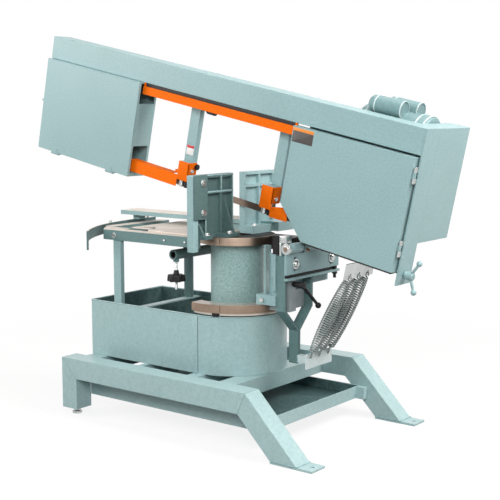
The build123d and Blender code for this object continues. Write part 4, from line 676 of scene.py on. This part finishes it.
# Blade guides: orange plates on a grey block, upright rollers each side of the blade, one over its back edge
ROLLER_Y, ROLLER_US, ROLLER_V = 11.8, (12, 37), 76
bearing = eased([(0, 0), (0, 10), (1, 11), (11, 11), (11.6, 10.2), (12.4, 10.2), (13, 11), (23, 11), (24, 10),
                 (24, 0)], 0.6, 4)
back_roller = eased([(0, 0), (0, 7.5), (28, 7.5), (28, 0)], 1.5)
socket = eased([(0, 0), (0, 6.5), (4, 6.5), (4, 3), (2, 3), (2, 0)], 0.8, 4)
knurl = eased([(0, 0), (0, 6), (2, 11), (11, 11), (12, 8), (12, 0)], 1.2)
for name, body, u0, u1, low, high in (("left_guide", BODY_OF["left_guide"], -592, -540, 103, 175),
                                      ("right_guide", "head", -190, -136, 100, 183)):
    cheek = at(u1 - 4, 0, 0)
    plates = [block(u0, u1, -33, -29, low, high, 3.0),
              slab(oblong(-33, 15, low + 22, high), cheek, BACK, ACROSS, 4.0, 3.0)]
    if name == "right_guide":
        shield = [(u1 - 4, 75), (u1 + 76, 77), (u1 + 72, 101), (u1 + 51, 124), (u1 - 4, 112)]
        plates.append(slab(shield, at(0, -29, 0), ALONG, ACROSS, 2.0, 3.0, 0.4))
        plates.append(slab(oblong(-31, -8, 106, 108), cheek, BACK, ACROSS, 64.0, 0.6, 0.3))
    piece(name + "_plates", plates, ORANGE, body, "orange_paint", name)
    piece(name + "_block", [block(u0 + 4, u1 - 4, -29, 18, 132, high, 2.0, 1.2)],
          PAINT, body, "hammertone_paint")
    bright, dark = [], []
    for y in (-ROLLER_Y, ROLLER_Y):
        bright.append(turned(at(u0 + ROLLER_US[0], y, ROLLER_V), ACROSS, bearing, 36))
        dark.append(turned(at(u0 + ROLLER_US[1], y, ROLLER_V), ACROSS, bearing, 36))
        bright += [rod(at(u0 + u, y, 99), ACROSS, radius=5, length=34, sides=24) for u in ROLLER_US]
    bright.append(turned(at(u0 + 24.5, -14, 106.7), BACK, back_roller, 30))
    bright.append(rod(at(u0 + 24.5, -8, 106.7), ACROSS, radius=4, length=28, sides=20))
    bright.append(disc(at(u1, -12.6, low + 40), ALONG, radius=8.0, height=1.6))
    bright.append(turned(at(u1 + 1.6, -12.6, low + 40), ALONG, socket, 32))
    piece(name + "_rollers", bright, ZINC, body, "zinc_plate")
    if name == "left_guide":
        dark.append(turned(at(u1, 8, 160), ALONG, knurl, 72, lobed(18, 0.03)))
    piece(name + "_hardened_rollers", dark, BLACK, body, "black_plastic")

# Motor shell with end bells and a saddle to the beam, two capacitor cans on top, painted highlight bands
# round them all
shell = eased([(0, 0), (0, 38), (6, 62), (20, 75), (38, 79), (39, 81.0), (44, 81.0), (45, 79.5), (236, 79.5),
               (237, 81.0), (242, 81.0), (243, 79.5), (268, 79), (279, 74), (281, 62), (281, 10),
               (281, 0)], 2.5)
motor_end = at(55, 160, 457)
piece("motor_shell", [turned(motor_end, ALONG, shell, 72),
                      slab(oblong(62, 110, 432, 472), at(100, 0, 0), BACK, ACROSS, 190.0, 4.0, 2.0)],
      MOTOR_PAINT, "head", "motor_paint", "motor")
cans, bands = [], []
for u, y, length in ((106, 108, 136), (136, 180, 130)):
    can_end = at(u, y, 541)
    can = eased([(0, 0), (0, 12), (4, 22), (14, 29.6), (30, 30.8), (length, 30.8), (length, 27),
                 (length - 2, 26), (length - 2, 0)], 1.6)
    cans.append(turned(can_end, ALONG, can, 48))
    bands += [hoop(can_end, ALONG, s, width=3.5, inner=30, outer=31.4, sides=48) for s in (30, length - 3.5)]
bands += [hoop(motor_end, ALONG, s, width=4, inner=79, outer=81.6, sides=72) for s in (39.5, 237.5, 268.0)]
piece("motor_bands", bands, HIGHLIGHT_PAINT, "head", "motor_paint")
piece("capacitor_cans_spun", cans, MOTOR_PAINT, "head", "hammertone_paint", "capacitor_covers")

# Weld beads of the frame, column and spring anchor
beads = []
for sign in (-1, 1):
    outer, inner = sign * 370.4, sign * 293.4
    beads += [bead([(323, y, 219), (291.4, y, 144.5)], 1.1) for y in (outer, inner)]
    beads.append(bead([(323, outer, 220.2), (323, inner, 220.2)], 1.1))
    beads += [bead([(432, y, 9), (530, y, 9)], 2.6) for y in (outer, inner)]
    beads.append(bead([(536, outer, 9), (536, inner, 9)], 2.6))
    beads.append(bead([(-560, sign * 370.2, 219), (-484, sign * 370.2, 144)], 0.8))
COLUMN_RADIUS = 98.5
circle = COLUMN_RADIUS * np.array([heading(degrees) for degrees in range(0, 361, 2)])
beads += [bead(circle + height * UP, 3.2) for height in (441.0, 423.5, 667.5)]
piece("frame_weld_beads", beads, PAINT, "stand", "hammertone_paint")
joints = [bead([(x, y, 253), (x, y, 279)], 2.4, RIGHT) for x in (282.5, 365.2) for y in (-9.8, 9.8)]
piece("anchor_weld_beads", joints, PAINT, "swivel", "hammertone_paint")

# Plain label on the door, without lettering
LABEL_EDGE = 0.1
piece("door_label", [block(-83, 4, -53.5, -53.0, 366, 405, 2.0, LABEL_EDGE)],
      DARK_LABEL, BODY_OF["drive_door"], "hammertone_paint")
piece("door_label_band", [block(-83, 4, -53.5, -53.0, 405, 416, 2.0, LABEL_EDGE)],
      AMBER_LABEL, BODY_OF["drive_door"], "hammertone_paint")

# Chip pan: inside stained and darkened with painted shade, a folded hem round the rim, a lap seam where the
# round end meets the sides
PAN_LEFT_X, PAN_ROUND_X = -363, -20


def pan_outline(reach, height):
    """Outline of the chip pan at a reach from its middle line, square at the left and round at the right."""
    half = np.linspace(-np.pi / 2, np.pi / 2, 60)
    left = PAN_LEFT_X - reach
    loop = np.concatenate([eased([(left, 0), (left, -reach), (PAN_ROUND_X, -reach)], 3.0),
                           np.stack([PAN_ROUND_X + reach * np.cos(half), reach * np.sin(half)], axis=1),
                           eased([(PAN_ROUND_X, reach), (left, reach), (left, 0)], 3.0)])
    return np.concatenate([loop, np.full((len(loop), 1), height)], axis=1)


lining = ((199.2, 206.6), (199.2, 416), (199.8, 416), (199.8, 206.1))
walls = [pan_outline(reach, height) for reach, height in lining]
floors = [np.broadcast_to((-280.0, 0.0, height), walls[0].shape) for height in (206.6, 206.1)]
piece("chip_pan_stained_and_shaded_inside", [skin(np.stack([floors[0], *walls, floors[1]]))],
      STAIN_AND_SHADE, "stand", "hammertone_paint")
piece("chip_pan_hem", [tube(pan_outline(203, 417.6), 2.2, UP)], SHEET_PAINT, "stand", "hammertone_paint")
seam, joint = [], []
for y, first in ((-202.8, RIGHT), (202.8, -RIGHT)):
    low, high = sorted((first[0] * -50, first[0] * -23))
    seam.append(slab(oblong(low, high, 206, 415), y * BACK, first, UP, 1.2, 1.0, 0.3))
    low, high = sorted((first[0] * -23, first[0] * -20.5))
    joint.append(slab(oblong(low, high, 206, 415), y * BACK, first, UP, 0.5, 0.5, 0.1))
piece("chip_pan_lap", seam, SHEET_PAINT, "stand", "hammertone_paint")
piece("chip_pan_joint", joint, IRON, "stand", "hammertone_paint")

# Drip tray: painted shade on the floor and on the inside of the rear wall, under the pan
stain_and_shade = [slab(oblong(-480, 351.6, -290.4, 290.4), 74.9 * UP, RIGHT, BACK, 0.4, 1.0, 0.1),
         slab(oblong(-480, 351.6, 75.4, 116), 290.9 * BACK, RIGHT, UP, 0.4, 1.0, 0.1)]
piece("drip_tray_painted_shade", stain_and_shade, STAIN_AND_SHADE, "stand", "hammertone_paint")

# Rings: index marks, a small stop on the seat, bright rims, and dark grease with painted shade on the upper
# face
marks = []
for radius, degrees, low, high in ((141.5, -78.2, 672, 696), (210.0, -69.0, 438, 461)):
    way = heading(degrees)
    side = np.cross(UP, way)
    marks.append(slab(oblong(-0.8, 0.8, low, high), (radius - 0.2) * way, side, UP, 0.5, 0.3, 0.1))
piece("ring_index_marks", marks, GREASE_AND_SHADE, "stand", "machined_steel")
way = heading(-74.6)
piece("ring_seat_stop", [slab(oblong(-13, 13, 421, 434), 190 * way, np.cross(UP, way), UP, 14.0)],
      BLACK, "stand", "machined_steel")
RING_CUT_X = -50.0
rims = []
for inner, outer, low, high in ((195.0, 196.4, 424.3, 433.8), (156.0, 208.5, 463.8, 464.2)):
    rim = np.array(oblong(inner, outer, low, high))
    rims.append(swept(rim, np.arccos(RING_CUT_X / rim[:, :1]) * np.linspace(-0.998, 0.998, 121)))
piece("ring_seat_and_rim", rims, RIM_STEEL, "stand", "machined_steel")
film = [(0, 62), (0.3, 62.4), (0.3, 137), (0, 138), (-0.2, 100), (0, 62)]
piece("ring_top_grease_and_shade", [turned((0, 0, 698), UP, film, 96)], GREASE_AND_SHADE, "stand", "machined_steel")

# Table: bare tops of the angle rails and the vise base, a painted highlight along the top of the arc,
# painted shade on the rear leg and in the pipe bore
vise_top = slab(oblong(-667, -25, 71, 169), 742.8 * UP, RIGHT, BACK, 0.2, 1.0, 0.05)
tops = [slab(outline, 698 * UP, RIGHT, BACK, 0.3, 0.6, 0.1) for outline in (
    [(-497, -200.5), (-12.5, -200.5), (-12.5, -150.5), (-538, -150.5)],
    [(-538, -150.5), (-433.5, -150.5), (-433.5, -112.5), (-570, -112.5)],
    [(-570, -112.5), (-530.5, -112.5), (-530.5, 213.5), (-580.5, 213.5), (-580.5, -101)])]
arc_highlight_edge = oblong(ARC_RADIUS - 2.7, ARC_RADIUS + 2.7, ARC_CENTRE[2] - 0.2, ARC_CENTRE[2] + 0.2)
tops.append(swept(arc_highlight_edge, np.radians(np.linspace(172.2, 221.2, 80)), ARC_CENTRE))
piece("table_bare_tops_and_arc_highlight", tops + [vise_top], TABLE_STEEL, "stand", "machined_steel")
piece("rear_leg_painted_shade", [slab(oblong(-385.3, -352.7, 401, 697), 160.3 * BACK, RIGHT, UP, 20.6)],
      SHADE_PAINT, "stand", "hammertone_paint")
bore = [(0, 13.2), (0, 12.9), (30, 12.9), (30, 0), (31, 0), (31, 13.2), (0, 13.2)]
piece("stop_tube_bore_painted_shade", [turned((-200, -131, 616), BACK, bore, 40)], GREASE_AND_SHADE, "stand", "hammertone_paint")

# Front fence: rib crests and outer edges in lighter plain paint as painted highlight, beside the painted
# shade between them
crests = [(-204, -46, 861, 867), (-204, -46, 921, 925.5), (-117, -111, 868, 920), (-51, -46.5, 700, 920),
          (-204, -199, 700, 768)]
piece("fence_highlit_crests", [slab(oblong(*crest), 17.8 * RIGHT, BACK, UP, 0.5, 0.8, 0.1) for crest in crests],
      PAINT, "stand", "hammertone_paint")

# Carriage: worn front strip and bright hook block; hinge: rubber seal, dull shaft end and painted shade in
# the gap
piece("carriage_strip_face", [slab(oblong(190, 206.6, 502, 676), -76.9 * BACK, RIGHT, UP, 0.5, 1.0, 0.2)],
      STRIP_STEEL, "swivel", "hammertone_paint")
arms = ((261.7, 292.3, 691.3, 716.3), (261.7, 269.4, 645.5, 691.3))
piece("hook_block_milled", [slab(oblong(*sides), -61.8 * BACK, RIGHT, UP, 31.5, 1.5) for sides in arms],
      ZINC, "swivel", "hammertone_paint")
piece("barrel_seal", [hoop(HINGE - 7 * BACK, BACK, 0, width=4, inner=17, outer=18.7, sides=40)],
      RUBBER_AND_SHADE, "swivel", "machined_steel")
piece("shaft_end_dull", [disc(HINGE - 95.6 * BACK, -BACK, radius=8.5, height=0.8, ease=0.3)],
      LOWER_RING_STEEL, "swivel", "zinc_plate")
piece("hinge_gap_painted_shade", [slab(oblong(-90, 238, 567, 577), 285 * RIGHT, BACK, UP, 1.5)],
      GREASE_AND_SHADE, "swivel", "machined_steel")

# Black strips of painted shade that close the gap under the beam and line the lower edge of the drive case
piece("case_painted_shade_strip", [block(30, 398, -50, -24, 25, 30)], RUBBER_AND_SHADE, "head", "hammertone_paint")
piece("guard_painted_shade_strip", [block(-826, -89, -24, -21, 413, 428)], RUBBER_AND_SHADE, "head", "orange_paint")

# Plain label on the left guide arm, without lettering
piece("arm_label", [block(-606, -571, 17.5, 18.0, 196, 232, 2.0, LABEL_EDGE)],
      WHITE_LABEL, BODY_OF["left_guide_arm"], "hammertone_paint")
piece("arm_label_band", [block(-606, -571, 17.3, 17.8, 222, 232, 1.0, LABEL_EDGE)],
      RED_LABEL, BODY_OF["left_guide_arm"], "hammertone_paint")

# Every other frame node, softened by a bevel of this width, or of one millimetre
EDGES = {
    "base_frame": 5.0, "head_beam": 4.0, "fence_post": 3.0, "right_guide_arm": 3.0, "left_guide_arm": 2.0,
    "gear_case": 5.0, "belt_guard": 2.0, "drive_door": 1.6, "fence_front": 1.5, "fence_rear": 1.5,
    "vise_jaw": 1.5, "lower_shoe": 2.0, "lock_block": 1.5, "chip_pan": 0.8, "idler_door": 0.7,
    "return_guard": 0.5, "left_guard": 0.5}
for node in frame["nodes"]:
    if node not in REPLACED:
        softened(node, EDGES.get(node, 1.0), NODE_FINISH.get(node, SLOT_FINISH[SLOT_OF[node]]))


# Floor, light and camera
def seen_rays(tree):
    """One for camera, glossy and transmission rays, which see the white background, and zero for others."""
    path = add(tree, "ShaderNodeLightPath").outputs
    seen = add(tree, "ShaderNodeMath", {"operation": "MAXIMUM"},
               {0: path["Is Camera Ray"], 1: path["Is Glossy Ray"]})
    seen = add(tree, "ShaderNodeMath", {"operation": "MAXIMUM"},
               {0: seen.outputs[0], 1: path["Is Transmission Ray"]})
    return seen.outputs[0]


bpy.ops.mesh.primitive_plane_add(size=60.0, location=(0.0, 0.0, -0.0005))
floor = bpy.context.object
floor.name = "studio_floor"
material, tree, place = finish("white_studio_floor")
seen = seen_rays(tree)
tone = add(tree, "ShaderNodeMapRange", {}, {"Value": seen, "To Min": 0.28, "To Max": 0.95}).outputs["Result"]
pale = add(tree, "ShaderNodeBsdfDiffuse", {}, {"Color": tone})
glow = add(tree, "ShaderNodeEmission", {}, {"Color": WHITE, "Strength": 1.0})
away = add(tree, "ShaderNodeVectorMath", {"operation": "LENGTH"}, {0: place}).outputs["Value"]
share = add(tree, "ShaderNodeMapRange", {}, {"Value": away, "From Min": 1.0, "From Max": 2.4, "To Min": 0.86})
share = add(tree, "ShaderNodeMath", {"operation": "MULTIPLY"}, {0: seen, 1: share.outputs["Result"]})
mix = add(tree, "ShaderNodeMixShader", {}, {0: share.outputs[0], 1: pale.outputs[0], 2: glow.outputs[0]})
add(tree, "ShaderNodeOutputMaterial", {}, {"Surface": mix.outputs[0]})
floor.data.materials.append(material)

world = bpy.data.worlds.new("white_studio")
bpy.context.scene.world = world
world.use_nodes = True
tree = world.node_tree
tree.nodes.clear()
strength = add(tree, "ShaderNodeMapRange", {}, {"Value": seen_rays(tree), "To Min": 0.1, "To Max": 1.0})
sky = add(tree, "ShaderNodeBackground", {}, {"Color": WHITE, "Strength": strength.outputs["Result"]})
add(tree, "ShaderNodeOutputWorld", {}, {"Surface": sky.outputs[0]})

for name, size, power, tint, spot, aim in (
        ("left_softbox", 1.6, 60.0, "#FFFAF8", (-2.3, -1.9, 2.0), (-0.9, 0.0, 0.8)),
        ("front_softbox", 1.6, 105.0, "#FFFFFF", (2.0, -3.0, 2.3), (0.0, 0.0, 0.6)),
        ("right_softbox", 2.0, 196.0, "#FFF7F5", (2.8, 0.7, 3.4), (0.4, 0.0, 0.7)),
        ("top_softbox", 2.6, 22.0, "#FFFFFF", (0.0, 0.4, 4.2), (0.0, 0.0, 0.8))):
    lamp = bpy.data.lights.new(name, "AREA")
    lamp.size = size
    lamp.energy = power
    lamp.color = linear(tint)[:3]
    holder = bpy.data.objects.new(name, lamp)
    bpy.context.scene.collection.objects.link(holder)
    toward = np.array(aim) - np.array(spot)
    lean = np.arccos(-toward[2] / np.linalg.norm(toward))
    holder.location = spot
    holder.rotation_euler = (lean, 0.0, np.arctan2(toward[0], -toward[1]) + np.pi)

SENSOR = 36.0
PHOTO_WIDTH, FOCAL_PIXELS = 500.0, 1091.53
CAMERA_DIP, CAMERA_TURN = 7.45, 37.72
camera = bpy.data.cameras.new("photo_camera")
camera.sensor_width = SENSOR
camera.lens = SENSOR * FOCAL_PIXELS / PHOTO_WIDTH
viewpoint = bpy.data.objects.new("photo_camera", camera)
viewpoint.location = (2.49684, -3.15091, 1.16193)
viewpoint.rotation_euler = (np.radians(90.0 - CAMERA_DIP), 0.0, np.radians(CAMERA_TURN))
bpy.context.scene.collection.objects.link(viewpoint)
bpy.context.scene.camera = viewpoint
bpy.context.scene.view_settings.view_transform = "Standard"
